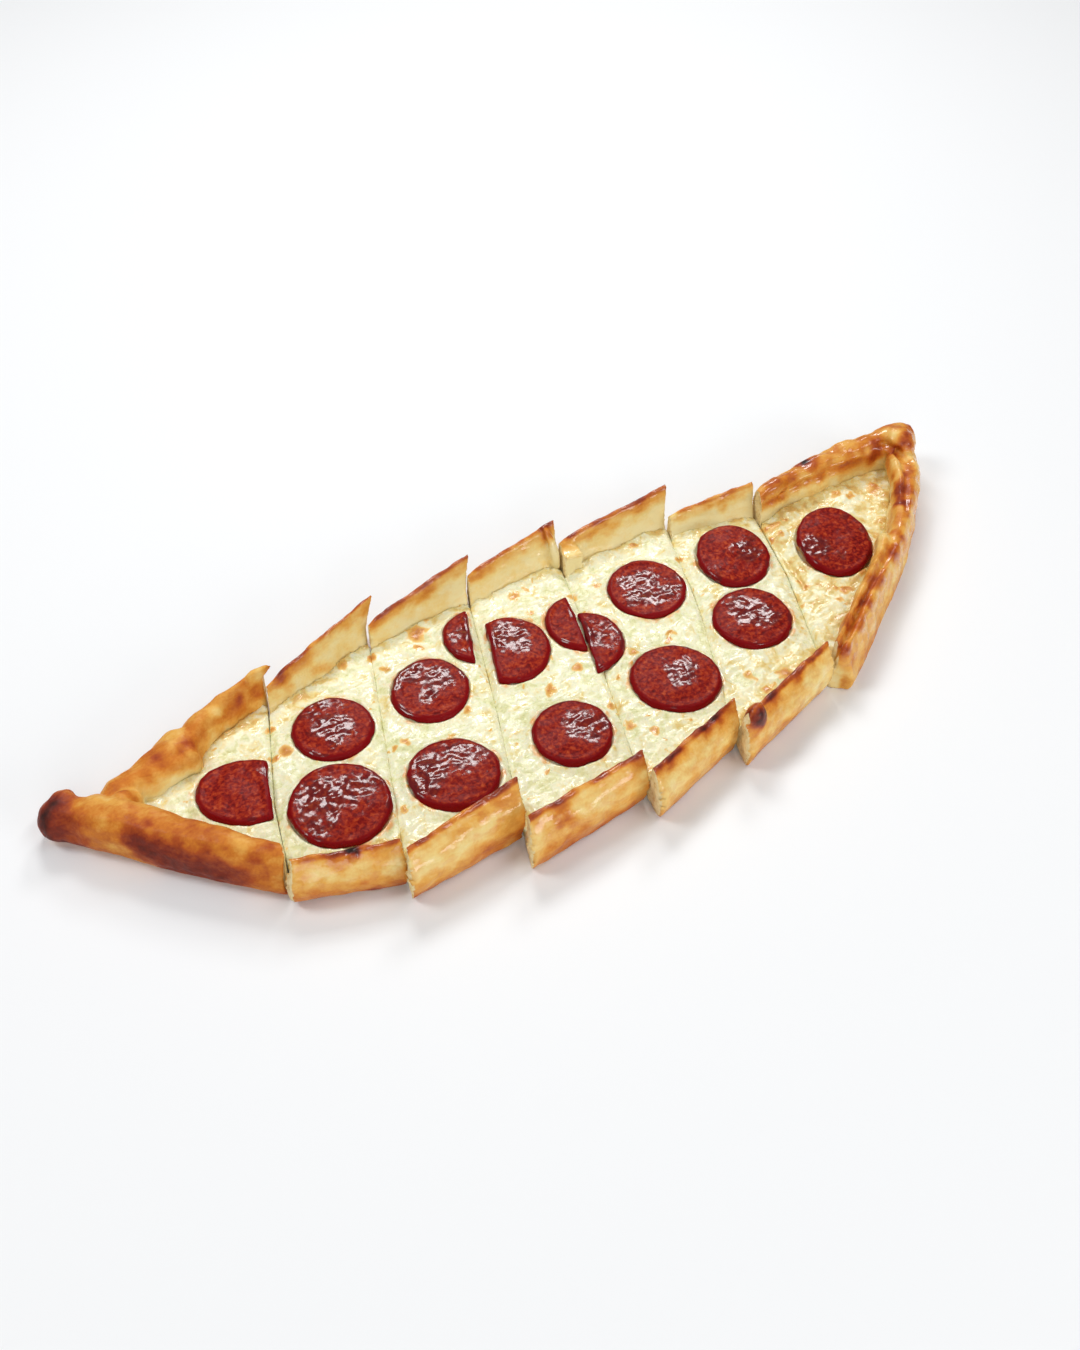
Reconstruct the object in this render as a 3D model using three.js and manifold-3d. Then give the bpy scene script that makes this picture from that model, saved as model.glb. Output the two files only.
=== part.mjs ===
// A boat-shaped pide: cheese and rounds of sucuk sausage in a folded dough rim, cut across into seven
// slices that have slid a little along the cuts. Millimetres, +Z up, X from the knotted left tip to the
// right tip, Y away from the near rim. The flat bottoms stand on Z = 0.
import * as THREE from 'three';
import { mergeVertices } from 'three/addons/utils/BufferGeometryUtils.js';
import Module from 'manifold-3d';

// ---- Driving dimensions
const BASE = 4; // thickness of the dough under the cheese
const CHEESE_TOP = 7.6; // height of the melted cheese
const CREST = 2.8; // thickness of a rim along its top edge
const INNER_RUN = 3.4; // how far a rim's inner foot stands inside its crest
const CLEARANCE = 0.3; // gap between two foods that touch
const KNIFE = 0.8; // gap that the knife leaves between two slices
const SPINE = -40; // Y of the middle line, where each cut bends slightly
const FAR_CORNER = 2.6; // how far a far rim's left corner droops
const SAUSAGE_THICKNESS = 3;
const SAUSAGE_SIDES = 20;

// Each cut crosses the spine at x and runs askew, by near and far millimetres of X for each of Y. At
// the left edge of the slice after it, the rim's foot trails to the right by drag.
const CUTS = [
  { x: -137, near: 0.27, far: 0.4, drag: -4.5 },
  { x: -90.7, near: 0.38, far: 0.38, drag: 0 },
  { x: -43.2, near: 0.4, far: 0.37, drag: 0 },
  { x: 5.3, near: 0.36, far: 0.31, drag: 3 },
  { x: 56.2, near: 0.49, far: 0.385, drag: 3 },
  { x: 102, near: 0.45, far: 0.33, drag: 9 },
];

// The five middle slices, left to right. Every pair is at the slice's left cut and at its right cut:
// Y of the near and far crests, their heights, how far the near foot stands out beyond its crest, and
// how far the far rim leans out. The tail is how far the far crest reaches past the right cut.
const MIDDLE_SLICES = [
  { near: [-75.2, -87.6], far: [8.6, 25.5], nearHeight: [19, 19.5], farHeight: [17, 23],
    run: [2.8, 4.8], lean: [3.7, 5.6], tail: 4.4 },
  { near: [-94.4, -89.4], far: [17.9, 26.6], nearHeight: [22.5, 25.5], farHeight: [17, 23],
    run: [5, 7.6], lean: [2, 6.8], tail: 2.8 },
  { near: [-104.6, -100.3], far: [22.2, 26], nearHeight: [22, 22], farHeight: [17.5, 22.8],
    run: [6, 5.2], lean: [4.3, 7], tail: 0 },
  { near: [-110.3, -96.6], far: [19.6, 20.4], nearHeight: [22, 22], farHeight: [17.5, 23],
    run: [5.6, 6.2], lean: [5, 4.6], tail: 1.4 },
  { near: [-107.2, -91.2], far: [11.6, 4.2], nearHeight: [21.5, 20.5], farHeight: [14.8, 20.6],
    run: [5.4, 5.4], lean: [3, 3.6], tail: 0 },
];

// Rounds of sucuk. A chord keeps only one side of a round that a cut went through: the line passes
// through (x, y), leans dx for each millimetre of Y, and keep is -1 for its left side, 1 for its right.
const SAUSAGES = [
  { name: 'sucuk_1', x: -143.2, y: -30, rx: 19.2, ry: 15.6, turn: -34, tilt: 0,
    chord: { x: -137.4, y: -39.5, dx: 0.33, keep: -1 } },
  { name: 'sucuk_2_far', x: -102.8, y: -19, rx: 16, ry: 16.2, turn: -20, tilt: 0 },
  { name: 'sucuk_2_near', x: -117.2, y: -54.3, rx: 19.2, ry: 19.3, turn: -32, tilt: 3 },
  { name: 'sucuk_3_far', x: -61.5, y: -20.6, rx: 15.8, ry: 17.3, turn: -30, tilt: 0 },
  { name: 'sucuk_3_near', x: -74.9, y: -62.9, rx: 17.9, ry: 17.6, turn: -32, tilt: 0 },
  { name: 'sucuk_3_cut', x: -28.9, y: -4.5, rx: 16, ry: 16, turn: 0, tilt: 0,
    chord: { x: -33.4, y: -4.4, dx: 0.42, keep: -1 } },
  { name: 'sucuk_4_cut', x: -23.9, y: -17.9, rx: 17.2, ry: 18.9, turn: -32, tilt: 0,
    chord: { x: -31.6, y: -18, dx: 0.39, keep: 1 } },
  { name: 'sucuk_4_near', x: -26.6, y: -69.2, rx: 15.8, ry: 16.9, turn: -36, tilt: 0 },
  { name: 'sucuk_4_right', x: 11.3, y: -20.3, rx: 16.8, ry: 17.2, turn: -20, tilt: 0,
    chord: { x: 7.9, y: -20, dx: 0.3, keep: -1 } },
  { name: 'sucuk_5_cut', x: 4.6, y: -30.8, rx: 16.2, ry: 17.6, turn: -32, tilt: 0,
    chord: { x: 6.6, y: -27, dx: 0.36, keep: 1 } },
  { name: 'sucuk_5_far', x: 44.2, y: -17.4, rx: 16.9, ry: 18, turn: -28, tilt: 0 },
  { name: 'sucuk_5_near', x: 23.6, y: -66.5, rx: 18.6, ry: 18.2, turn: -32, tilt: 0 },
  { name: 'sucuk_6_far', x: 87, y: -20.8, rx: 16.1, ry: 18.8, turn: -32, tilt: 5 },
  { name: 'sucuk_6_near', x: 70.6, y: -55.2, rx: 16.8, ry: 17.9, turn: -32, tilt: 0 },
  { name: 'sucuk_7', x: 129.5, y: -37.2, rx: 20.8, ry: 16.6, turn: 56, tilt: 6 },
];

// The dough rolls of the two ends: each path runs in plan, and each station along it has the roll's
// height, its half widths at foot and crest, and how far the crest leans to the right of its way.
const LEFT_NEAR_ROLL = {
  path: [[-209, 0.5], [-200.5, -9], [-190.6, -19.6], [-178, -34.6], [-167, -47.4], [-155, -61], [-137, -80]],
  stations: [
    { at: 0, height: 12.4, foot: 4, crest: 4, lean: 0 },
    { at: 0.045, height: 17, foot: 7.8, crest: 7.8, lean: 0 },
    { at: 0.095, height: 18.6, foot: 9.2, crest: 9.2, lean: 0 },
    { at: 0.16, height: 17.8, foot: 7.6, crest: 7.6, lean: 0 },
    { at: 0.25, height: 20.4, foot: 8.6, crest: 8.6, lean: 0 },
    { at: 0.36, height: 21, foot: 8.8, crest: 8.6, lean: 0 },
    { at: 0.6, height: 22, foot: 9.6, crest: 8, lean: 0 },
    { at: 0.82, height: 22.2, foot: 8.4, crest: 6, lean: 0 },
    { at: 1, height: 22, foot: 7, crest: 4.4, lean: 0 },
  ],
  squareness: 2.3,
};
const LEFT_FAR_ROLL = {
  path: [[-193, -15], [-182, -7.8], [-168, -4.2], [-154.7, 1], [-140.7, 7], [-127, 10.6], [-104, 17]],
  stations: [
    { at: 0, height: 14, foot: 6, crest: 6, lean: 0 },
    { at: 0.15, height: 16.6, foot: 6.6, crest: 6.6, lean: 0 },
    { at: 0.5, height: 18.8, foot: 8, crest: 7.8, lean: 0 },
    { at: 0.55, height: 18, foot: 7.2, crest: 4.8, lean: -1 },
    { at: 0.72, height: 19.6, foot: 6.8, crest: 3.6, lean: -2 },
    { at: 0.85, height: 21, foot: 5, crest: 2.2, lean: -2.6 },
    { at: 1, height: 22.5, foot: 4.2, crest: 1.4, lean: -3 },
  ],
  squareness: 2.4,
};
const RIGHT_NEAR_ROLL = {
  path: [[62, -112], [80, -99.5], [97, -89.5], [117, -76], [138, -62.5], [156, -49], [172, -34.5], [186, -21],
    [194, -9]],
  stations: [
    { at: 0, height: 22, foot: 6, crest: 1.6, lean: -1.2 },
    { at: 0.3, height: 21.6, foot: 6.4, crest: 1.8, lean: -1.4 },
    { at: 0.5, height: 21, foot: 6.8, crest: 3, lean: -1.2 },
    { at: 0.62, height: 20.6, foot: 7, crest: 4.6, lean: -0.6 },
    { at: 0.85, height: 20, foot: 7.2, crest: 6, lean: 0 },
    { at: 1, height: 19, foot: 7.2, crest: 6.4, lean: 0 },
  ],
  squareness: 2.8,
};
const RIGHT_FAR_ROLL = {
  path: [[98, -4.5], [114, -2.6], [130, 1], [146, 3], [162, 3], [178, 1.4], [192, -1], [203, -3.5]],
  stations: [
    { at: 0, height: 20, foot: 6, crest: 2.6, lean: -2.4 },
    { at: 0.2, height: 20.6, foot: 6.2, crest: 4, lean: -1.6 },
    { at: 0.4, height: 21.4, foot: 7, crest: 6, lean: -0.6 },
    { at: 0.7, height: 22, foot: 7.4, crest: 6.6, lean: 0 },
    { at: 0.86, height: 25.4, foot: 7.8, crest: 6.6, lean: 0 },
    { at: 0.95, height: 26, foot: 7, crest: 6, lean: 0 },
    { at: 1, height: 24, foot: 4.6, crest: 4, lean: 0 },
  ],
  squareness: 2.6,
};

// Two strands of the twisted fold that runs along the crest of the right end's near roll.
const TIP_STRAND = {
  path: [[185, -10.5], [180, -18.5], [173.4, -28.6], [166.5, -36.5], [159.5, -43.6]],
  stations: [
    { at: 0, height: 19.5, foot: 2, crest: 2, lean: 0 },
    { at: 0.2, height: 21.8, foot: 3.2, crest: 3.2, lean: 0 },
    { at: 0.7, height: 21, foot: 3.2, crest: 3, lean: 0 },
    { at: 1, height: 18.4, foot: 1.6, crest: 1.6, lean: 0 },
  ],
  squareness: 2,
  low: 9,
};
const CREST_STRAND = {
  path: [[144.5, -51], [139, -56], [130.9, -62.4], [119.3, -69.6], [105.7, -77.9], [92.2, -86.4],
    [80, -94.6]],
  stations: [
    { at: 0, height: 18.4, foot: 2, crest: 2, lean: 0 },
    { at: 0.1, height: 21.6, foot: 3.4, crest: 3.4, lean: 0 },
    { at: 0.35, height: 22.6, foot: 3, crest: 2.8, lean: 0 },
    { at: 0.7, height: 22.8, foot: 2.2, crest: 1.8, lean: 0 },
    { at: 1, height: 22.8, foot: 1.8, crest: 1.4, lean: 0 },
  ],
  squareness: 2,
  low: 11,
};

// Where the near rims of the two ends meet the cut: the left one begins inside the crest of the slice
// beside it, and the right one outside, with a foot that stands further out.
const LEFT_RIM_IN = 2.5;
const RIGHT_RIM_OUT = 5;
const RIGHT_RIM_RUN = 6;

// Where each end's floor of dough lies, in plan: it runs inside the rolls and past the cut.
const LEFT_FLOOR = [[-193, -16], [-178, -35], [-155, -61], [-137, -79], [-104, 16], [-141, 6], [-168, -6]];
const RIGHT_FLOOR = [[62, -108], [97, -90], [138, -63], [172, -35], [192, -12], [178, 0], [130, 0], [98, -3]];

// Bits of dough fused to the slice that each is on. Those of the left end are the far roll's thick inner
// flank and the shoulder where it is pressed onto the near roll; then come a fold that stands at a cut, a
// flap folded in beside it, a blister, and the corner folded over the right tip.
const LUMPS = [
  { on: 1, block: false, at: [-165, -8.2, 8], half: [16, 4.6, 8], turn: 10, tip: 0 },
  { on: 1, block: false, at: [-155, -6.4, 8.4], half: [5, 5, 8.4], turn: 20, tip: 0 },
  { on: 1, block: false, at: [-184, -16, 9.4], half: [9, 6, 8.4], turn: 35, tip: 0 },
  { on: 4, block: false, at: [20, 20.2, 14.8], half: [3.3, 3.9, 10.4], turn: 14, tip: -28 },
  { on: 5, block: true, at: [25.6, 13.8, 8.8], half: [5.2, 4, 5.6], turn: -4, tip: -6 },
  { on: 6, block: false, at: [28.6, -107.6, 18.8], half: [6.2, 3.4, 5], turn: 20, tip: 0 },
  { on: 7, block: false, at: [193.5, -5, 17.4], half: [9, 9.6, 8.2], turn: -25, tip: 0 },
];

// A flake at the end of the left end's far roll, which hangs past the cut over the slice beside it.
const FLAKE = { block: false, at: [-117.6, 13.6, 18.6], half: [6.6, 2.2, 3.2], turn: 10, tip: 0 };

// ---- Finishes
const CRUST = new THREE.MeshStandardMaterial({ color: 0xd79a4c, roughness: 0.5, metalness: 0 });
const CHEESE = new THREE.MeshStandardMaterial({ color: 0xece6bf, roughness: 0.38, metalness: 0 });
const SUCUK = new THREE.MeshStandardMaterial({ color: 0x8c1a1c, roughness: 0.3, metalness: 0 });

// ---- Helpers
const { lerp, clamp, smoothstep, degToRad } = THREE.MathUtils;

const wasm = await Module();
wasm.setup();

const cutX = (cut, y) => cut.x + (y - SPINE) * (y < SPINE ? cut.near : cut.far);

// Drops everything but the positions and shares the corners, so that the surface is closed.
function closed(geometry) {
  geometry.deleteAttribute('normal');
  geometry.deleteAttribute('uv');
  return mergeVertices(geometry, 1e-4);
}

// Moves every corner of a geometry to where place(x, y, z) puts it.
function reshape(geometry, place) {
  const positions = geometry.attributes.position;
  for (let i = 0; i < positions.count; i += 1) {
    const to = place(positions.getX(i), positions.getY(i), positions.getZ(i));
    positions.setXYZ(i, to.x, to.y, to.z);
  }
  return geometry;
}

function toManifold(geometry) {
  return new wasm.Manifold(new wasm.Mesh({
    numProp: 3,
    vertProperties: Float32Array.from(geometry.attributes.position.array),
    triVerts: Uint32Array.from(geometry.index.array),
  }));
}

function toGeometry(manifold) {
  const mesh = manifold.getMesh();
  const geometry = new THREE.BufferGeometry();
  geometry.setAttribute('position', new THREE.BufferAttribute(Float32Array.from(mesh.vertProperties), 3));
  geometry.setIndex(new THREE.BufferAttribute(Uint32Array.from(mesh.triVerts), 1));
  return geometry;
}

function prism(outline, low, high) {
  const shape = new THREE.Shape(outline.map(([x, y]) => new THREE.Vector2(x, y)));
  const block = new THREE.ExtrudeGeometry(shape, { depth: high - low, bevelEnabled: false });
  return toManifold(closed(block.translate(0, 0, low)));
}

// All the space above the floor on one side of a cut: -1 keeps the left, 1 the right. From where the
// near rim begins, the edge trails away by the cut's drag for each run.
const FRONT = -140;
function besideCut(cut, side, rim = FRONT, run = 1) {
  const [front, back, high, away] = [FRONT, 80, 60, 400];
  const edge = [front, rim, SPINE, back].map((y) => [cutX(cut, y) + (side * KNIFE) / 2, y]);
  edge[0][0] += (cut.drag * (rim - front)) / run;
  return prism([...edge, [side * away, back], [side * away, front]], 0, high);
}

// ---- The five middle slices
// A rim in section, from its crest to the floor: inwards is positive, and the crest stands at 0.
const outerRim = (height, run) => [
  [-CREST / 2, height],
  [-CREST / 2 - 0.52 * run, 0.82 * height],
  [-CREST / 2 - 0.84 * run, 0.48 * height],
  [-CREST / 2 - run, 0.12 * height],
  [-CREST / 2 - run + 1.6, 0],
];
const innerRim = (height, run) => [
  [CREST / 2, height],
  [CREST / 2 + 0.28 * run, 0.76 * height],
  [CREST / 2 + 0.62 * run, 0.52 * height],
  [CREST / 2 + run, BASE + 2.6],
  [CREST / 2 + run + 2.6, BASE],
];
const FLOOR_STEPS = 6;
// A tail starts above the corner of the next slice and is full at the crest.
const TAIL_LOW = 14;
const TAIL_HIGH = 22;

// One face of the folded dough in section, from the near crest down, across and up to the far crest.
function foldedFace(nearRim, farRim, near, far) {
  const nearSide = nearRim.map(([inwards, z]) => [near + inwards, z]);
  const farSide = farRim.map(([inwards, z]) => [far - inwards, z]).reverse();
  const [from, to] = [nearSide.at(-1), farSide[0]];
  const floor = [];
  for (let i = 1; i < FLOOR_STEPS; i += 1) {
    floor.push([lerp(from[0], to[0], i / FLOOR_STEPS), from[1]]);
  }
  return [...nearSide, ...floor, ...farSide];
}

const ripple = (x, y) => Math.sin(x / 5.3 + y / 9) * Math.sin(x / 12.7 - y / 15 + 1);

function middleCrust(slice, left, right) {
  const along = 7;
  const across = 2 * 4 + FLOOR_STEPS;
  const through = 2;
  const at = (pair, u) => lerp(pair[0], pair[1], u);
  const box = closed(new THREE.BoxGeometry(1, 1, 1, along, across, through));
  return reshape(box, (bx, by, bz) => {
    const [u, w] = [bx + 0.5, bz + 0.5];
    const step = Math.round((by + 0.5) * across);
    const [near, far] = [at(slice.near, u), at(slice.far, u)];
    const droop = u < 0.5 / along ? FAR_CORNER : 0;
    const [nearHeight, farHeight] = [at(slice.nearHeight, u), at(slice.farHeight, u) - droop];
    const lean = at(slice.lean, u);
    const outer = foldedFace(
      outerRim(nearHeight, at(slice.run, u)), outerRim(farHeight, 1), near, far)[step];
    const inner = foldedFace(
      innerRim(nearHeight, INNER_RUN), innerRim(farHeight, lean), near, far)[step];
    const y = lerp(outer[0], inner[0], w);
    const rise = step === 0 || step === across ? 0.9 * (1 - Math.abs(2 * w - 1)) : 0;
    const beyond = clamp((near - CREST / 2 - y) / at(slice.run, u), 0, 1);
    const z = lerp(outer[1], inner[1], w) + rise;
    const tail = step > across / 2 ? slice.tail * smoothstep(z, TAIL_LOW, TAIL_HIGH) : 0;
    const drag = z > 0 ? left.drag : Math.max(left.drag, 0);
    const x = lerp(cutX(left, y) + KNIFE / 2 + drag * beyond, cutX(right, y) - KNIFE / 2 + tail, u);
    const wave = 0.5 * ripple(x, y) * smoothstep(z, BASE, nearHeight);
    return new THREE.Vector3(x, y, z + wave);
  });
}

const lumpsOn = (number) => LUMPS.filter(({ on }) => on === number);

function lumpShape({ block, at, half, turn, tip }, grow = 0) {
  const shape = closed(block ? new THREE.BoxGeometry(2, 2, 2) : new THREE.SphereGeometry(1, 12, 8));
  return toManifold(shape
    .rotateX(Math.PI / 2)
    .scale(...half.map((size) => size + grow))
    .rotateX(degToRad(tip))
    .rotateZ(degToRad(turn))
    .translate(...at));
}

function withLumps(dough, number, left, right) {
  const lumps = lumpsOn(number);
  if (!lumps.length) return dough;
  const between = besideCut(left, 1).intersect(besideCut(right, -1));
  return toGeometry(lumps.reduce(
    (sum, lump) => sum.add(lumpShape(lump).intersect(between)), toManifold(dough)));
}

const clearOfLumps = (cheese, number) => toGeometry(lumpsOn(number).reduce(
  (rest, lump) => rest.subtract(lumpShape(lump, CLEARANCE)), toManifold(cheese)));

// The cheese sinks a little towards a cut, and its top waves gently below its full height.
function cheeseTop(x, y, fromCut) {
  const wave = 0.35 + 0.35 * Math.sin(x / 8 + y / 13) * Math.cos(x / 17 - y / 7.5);
  return CHEESE_TOP - wave - 0.9 * (1 - smoothstep(fromCut, 0, 4));
}

function middleCheese(slice, left, right) {
  const [along, across] = [8, 14];
  const box = closed(new THREE.BoxGeometry(1, 1, 1, along, across, 1));
  return reshape(box, (bx, by, bz) => {
    const [u, v, top] = [bx + 0.5, by + 0.5, bz > 0];
    const near = lerp(slice.near[0], slice.near[1], u) + CREST / 2 + INNER_RUN;
    const far = lerp(slice.far[0], slice.far[1], u) - CREST / 2 - lerp(slice.lean[0], slice.lean[1], u);
    const inset = 2 * CLEARANCE + (top ? 0 : 2.6);
    const y = lerp(near + inset, far - inset, v);
    const [from, to] = [cutX(left, y) + KNIFE / 2, cutX(right, y) - KNIFE / 2];
    const x = lerp(from, to, u);
    const z = top ? cheeseTop(x, y, Math.min(x - from, to - x)) : BASE + CLEARANCE;
    return new THREE.Vector3(x, y, z);
  });
}

// ---- The two end slices
// A roll of dough: a drum whose length follows the path and whose section changes by the stations.
function doughRoll({ path, stations, squareness, low = -0.8 }, grow = 0) {
  const [sides, steps] = low > 0 ? [8, 14] : [14, 20];
  const way = new THREE.CatmullRomCurve3(path.map(([x, y]) => new THREE.Vector3(x, y, 0)));
  const drum = closed(new THREE.CylinderGeometry(1, 1, 1, sides, steps));
  const rounded = (c) => Math.sign(c) * Math.abs(c) ** (2 / squareness);
  return toManifold(reshape(drum, (x, y, z) => {
    const t = y + 0.5;
    const next = stations.findIndex((station) => station.at >= t - 1e-6);
    const [a, b] = [stations[Math.max(next - 1, 0)], stations[next]];
    const part = b.at > a.at ? clamp((t - a.at) / (b.at - a.at), 0, 1) : 0;
    const size = (key) => lerp(a[key], b[key], part);
    const height = size('height') + grow;
    const radius = Math.hypot(x, z);
    const [across, up] = radius > 0 ? [rounded(x / radius), rounded(z / radius)] : [0, 0];
    const rise = 0.5 + 0.5 * up * radius;
    const half = lerp(size('foot'), size('crest'), rise) + grow;
    const aside = across * radius * half + size('lean') * (rise - 0.5);
    const centre = way.getPoint(t);
    const ahead = way.getTangent(t);
    const level = low + rise * (height - Math.max(low, 0));
    return new THREE.Vector3(centre.x + ahead.y * aside, centre.y - ahead.x * aside, level);
  }));
}

const endDough = (rolls, lumps, grow = 0) => [
  ...rolls.map((roll) => doughRoll(roll, grow)), ...lumps.map((lump) => lumpShape(lump, grow)),
];

function endCrust(rolls, lumps, floor, side) {
  const dough = endDough(rolls, lumps).reduce((sum, part) => sum.add(part), prism(floor, 0, BASE));
  return dough.intersect(side);
}

// The cheese of an end fills the floor from roll to roll.
function endCheese(rolls, lumps, floor, cut, side) {
  const xs = floor.map(([x]) => x);
  const ys = floor.map(([, y]) => y);
  const [west, east, south, north] = [Math.min(...xs), Math.max(...xs), Math.min(...ys), Math.max(...ys)];
  const cells = 12;
  const slab = reshape(closed(new THREE.BoxGeometry(1, 1, 1, cells, cells, 1)), (bx, by, bz) => {
    const x = lerp(west, east, bx + 0.5);
    const y = lerp(south, north, by + 0.5);
    const z = bz > 0 ? cheeseTop(x, y, Math.abs(x - cutX(cut, y))) : BASE + CLEARANCE;
    return new THREE.Vector3(x, y, z);
  });
  const filled = toManifold(slab).intersect(prism(floor, 0, 60)).intersect(side);
  return endDough(rolls, lumps, CLEARANCE).reduce((rest, part) => rest.subtract(part), filled);
}

// ---- Sausage
function sausageRound({ x, y, rx, ry, turn, tilt, chord }) {
  const t = SAUSAGE_THICKNESS;
  const profile = [
    [0, 0.1], [0.9, 0], [1, 0.28 * t], [0.985, 0.78 * t], [0.93, t], [0.5, 1.1 * t], [0, 1.06 * t],
  ];
  const lathe = new THREE.LatheGeometry(profile.map(([r, z]) => new THREE.Vector2(r, z)), SAUSAGE_SIDES);
  const tipped = degToRad(tilt);
  const lift = CHEESE_TOP + CLEARANCE + rx * Math.sin(tipped);
  const disc = closed(lathe)
    .rotateX(Math.PI / 2)
    .scale(rx, ry, 1)
    .rotateZ(degToRad(turn))
    .rotateX(tipped)
    .translate(x, y, lift);
  if (!chord) return disc;
  const [front, back, high, away] = [-60, 60, 60, 90];
  const edge = [front, back].map((dy) => [chord.x + dy * chord.dx, chord.y + dy]);
  const beside = [[x + chord.keep * away, chord.y + back], [x + chord.keep * away, chord.y + front]];
  return toGeometry(toManifold(disc).intersect(prism([...edge, ...beside], 0, high)));
}

// ---- Assembly
const pide = new THREE.Group();

function place(name, geometry, material) {
  const mesh = new THREE.Mesh(geometry, material);
  mesh.name = name;
  pide.add(mesh);
}

const firstCut = CUTS[0];
const lastCut = CUTS.at(-1);
const [second] = MIDDLE_SLICES;
const leftSide = besideCut(firstCut, -1, second.near[0] + LEFT_RIM_IN, LEFT_RIM_IN + second.run[0]);
const rightSide = besideCut(lastCut, 1, MIDDLE_SLICES.at(-1).near[1] - RIGHT_RIM_OUT, RIGHT_RIM_RUN);
const leftRolls = [LEFT_NEAR_ROLL, LEFT_FAR_ROLL];
const rightRolls = [RIGHT_NEAR_ROLL, RIGHT_FAR_ROLL, TIP_STRAND, CREST_STRAND];
const [leftLumps, rightLumps] = [lumpsOn(1), lumpsOn(7)];

const leftCrust = endCrust(leftRolls, leftLumps, LEFT_FLOOR, leftSide).add(lumpShape(FLAKE));
place('crust_1', toGeometry(leftCrust), CRUST);
place('cheese_1', toGeometry(endCheese(leftRolls, leftLumps, LEFT_FLOOR, firstCut, leftSide)), CHEESE);
MIDDLE_SLICES.forEach((slice, i) => {
  const [left, right] = [CUTS[i], CUTS[i + 1]];
  const dough = withLumps(middleCrust(slice, left, right), i + 2, left, right);
  place(`crust_${i + 2}`, dough, CRUST);
  place(`cheese_${i + 2}`, clearOfLumps(middleCheese(slice, left, right), i + 2), CHEESE);
});
place('crust_7', toGeometry(endCrust(rightRolls, rightLumps, RIGHT_FLOOR, rightSide)), CRUST);
place('cheese_7', toGeometry(endCheese(rightRolls, rightLumps, RIGHT_FLOOR, lastCut, rightSide)), CHEESE);
SAUSAGES.forEach((sausage) => place(sausage.name, sausageRound(sausage), SUCUK));

// The origin is the middle of the underside of the whole.
const middle = new THREE.Box3().setFromObject(pide).getCenter(new THREE.Vector3());
pide.position.set(-middle.x, -middle.y, 0);

export default pide;
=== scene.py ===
"""A baked pide, dressed over its solids: folded dough, melted cheese and fried rounds of sucuk.

Shapes are worked out in millimetres in the pide's own plan: X from the knotted left tip to the folded
right tip, Y away from the near rim and Z up from the table. Each piece goes back to metres, in the
row's frame, as it is handed over.
"""

import logging
import math
from dataclasses import dataclass
from enum import Enum, IntEnum
from typing import Dict, Optional, Sequence, Tuple

import bmesh
import bpy
import numpy as np
from mathutils import Matrix, Vector


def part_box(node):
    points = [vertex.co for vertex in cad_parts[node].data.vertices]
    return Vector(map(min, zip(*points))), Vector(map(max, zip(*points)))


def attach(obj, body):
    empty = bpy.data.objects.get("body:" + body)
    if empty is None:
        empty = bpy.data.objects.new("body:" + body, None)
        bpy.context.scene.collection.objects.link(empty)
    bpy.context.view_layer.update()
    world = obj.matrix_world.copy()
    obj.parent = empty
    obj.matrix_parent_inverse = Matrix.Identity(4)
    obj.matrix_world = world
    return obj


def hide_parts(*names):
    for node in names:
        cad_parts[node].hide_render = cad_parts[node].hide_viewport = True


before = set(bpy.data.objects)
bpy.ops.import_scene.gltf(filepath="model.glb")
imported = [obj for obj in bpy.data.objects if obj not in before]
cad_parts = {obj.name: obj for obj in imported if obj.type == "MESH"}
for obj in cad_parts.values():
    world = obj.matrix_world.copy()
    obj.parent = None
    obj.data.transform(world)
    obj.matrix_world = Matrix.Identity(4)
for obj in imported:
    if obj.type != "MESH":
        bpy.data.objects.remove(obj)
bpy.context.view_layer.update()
LOG = logging.getLogger("pide")

Colour = Tuple[float, float, float]
Triple = Tuple[float, float, float]
Pair = Tuple[float, float]

MM = 0.001
SPINE = -40.0  # Y of the middle line, where each cut bends slightly
CHEESE_TOP = 7.6
CHEESE_UNDER_SUCUK = 0.5  # how far the cheese gives way below a round
WELL_DONE = 0.66  # the bake past which only charred stains go on darkening
FAR_AWAY = 1e9
MARKER = "sucuk_5_far"  # the whole round whose place fixes the plan in the row's frame
MARKER_AT = (44.2, -17.4)
SEEN_RIGHT, SEEN_UP = (0.846, -0.533), (0.533, 0.846)  # how the plan lies as seen from the near left


def plan_origin() -> np.ndarray:
    """Finds where the plan's origin lies in the row's frame, from one whole round of sucuk.

    Returns:
        The shift from the plan to the row's frame, in millimetres.
    """
    low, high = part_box(MARKER)
    middle = (np.array(low) + np.array(high)) / 2 / MM
    return np.array([middle[0] - MARKER_AT[0], middle[1] - MARKER_AT[1], 0.0])


ORIGIN = plan_origin()


def tone(red: int, green: int, blue: int) -> Colour:
    """Turns a screen colour into light amounts.

    Args:
        red: Red, 0 to 255.
        green: Green, 0 to 255.
        blue: Blue, 0 to 255.

    Returns:
        The same colour as linear shares of light.
    """
    shares = np.array([red, green, blue]) / 255
    linear = np.where(shares <= 0.04045, shares / 12.92, ((shares + 0.055) / 1.055) ** 2.4)
    return tuple(float(value) for value in linear)


def ease(low: float, high: float, values: np.ndarray) -> np.ndarray:
    """Rises smoothly from 0 at low to 1 at high, or falls where high is below low."""
    share = np.clip((values - low) / (high - low), 0, 1)
    return share * share * (3 - 2 * share)


def hump(values: np.ndarray, middle: float, width: float) -> np.ndarray:
    """A bell that is 1 at the middle and dies away over the width on either side."""
    return np.exp(-(((values - middle) / width) ** 2))


class Seed(IntEnum):
    """Where each family of grains starts counting, so that no two kinds of unevenness match."""

    CLOSING = 30
    SINKING = 31
    RIPPLE = 40
    TOAST = 60
    KNEAD = 100
    BAKE = 140
    ROUND = 200


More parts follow.
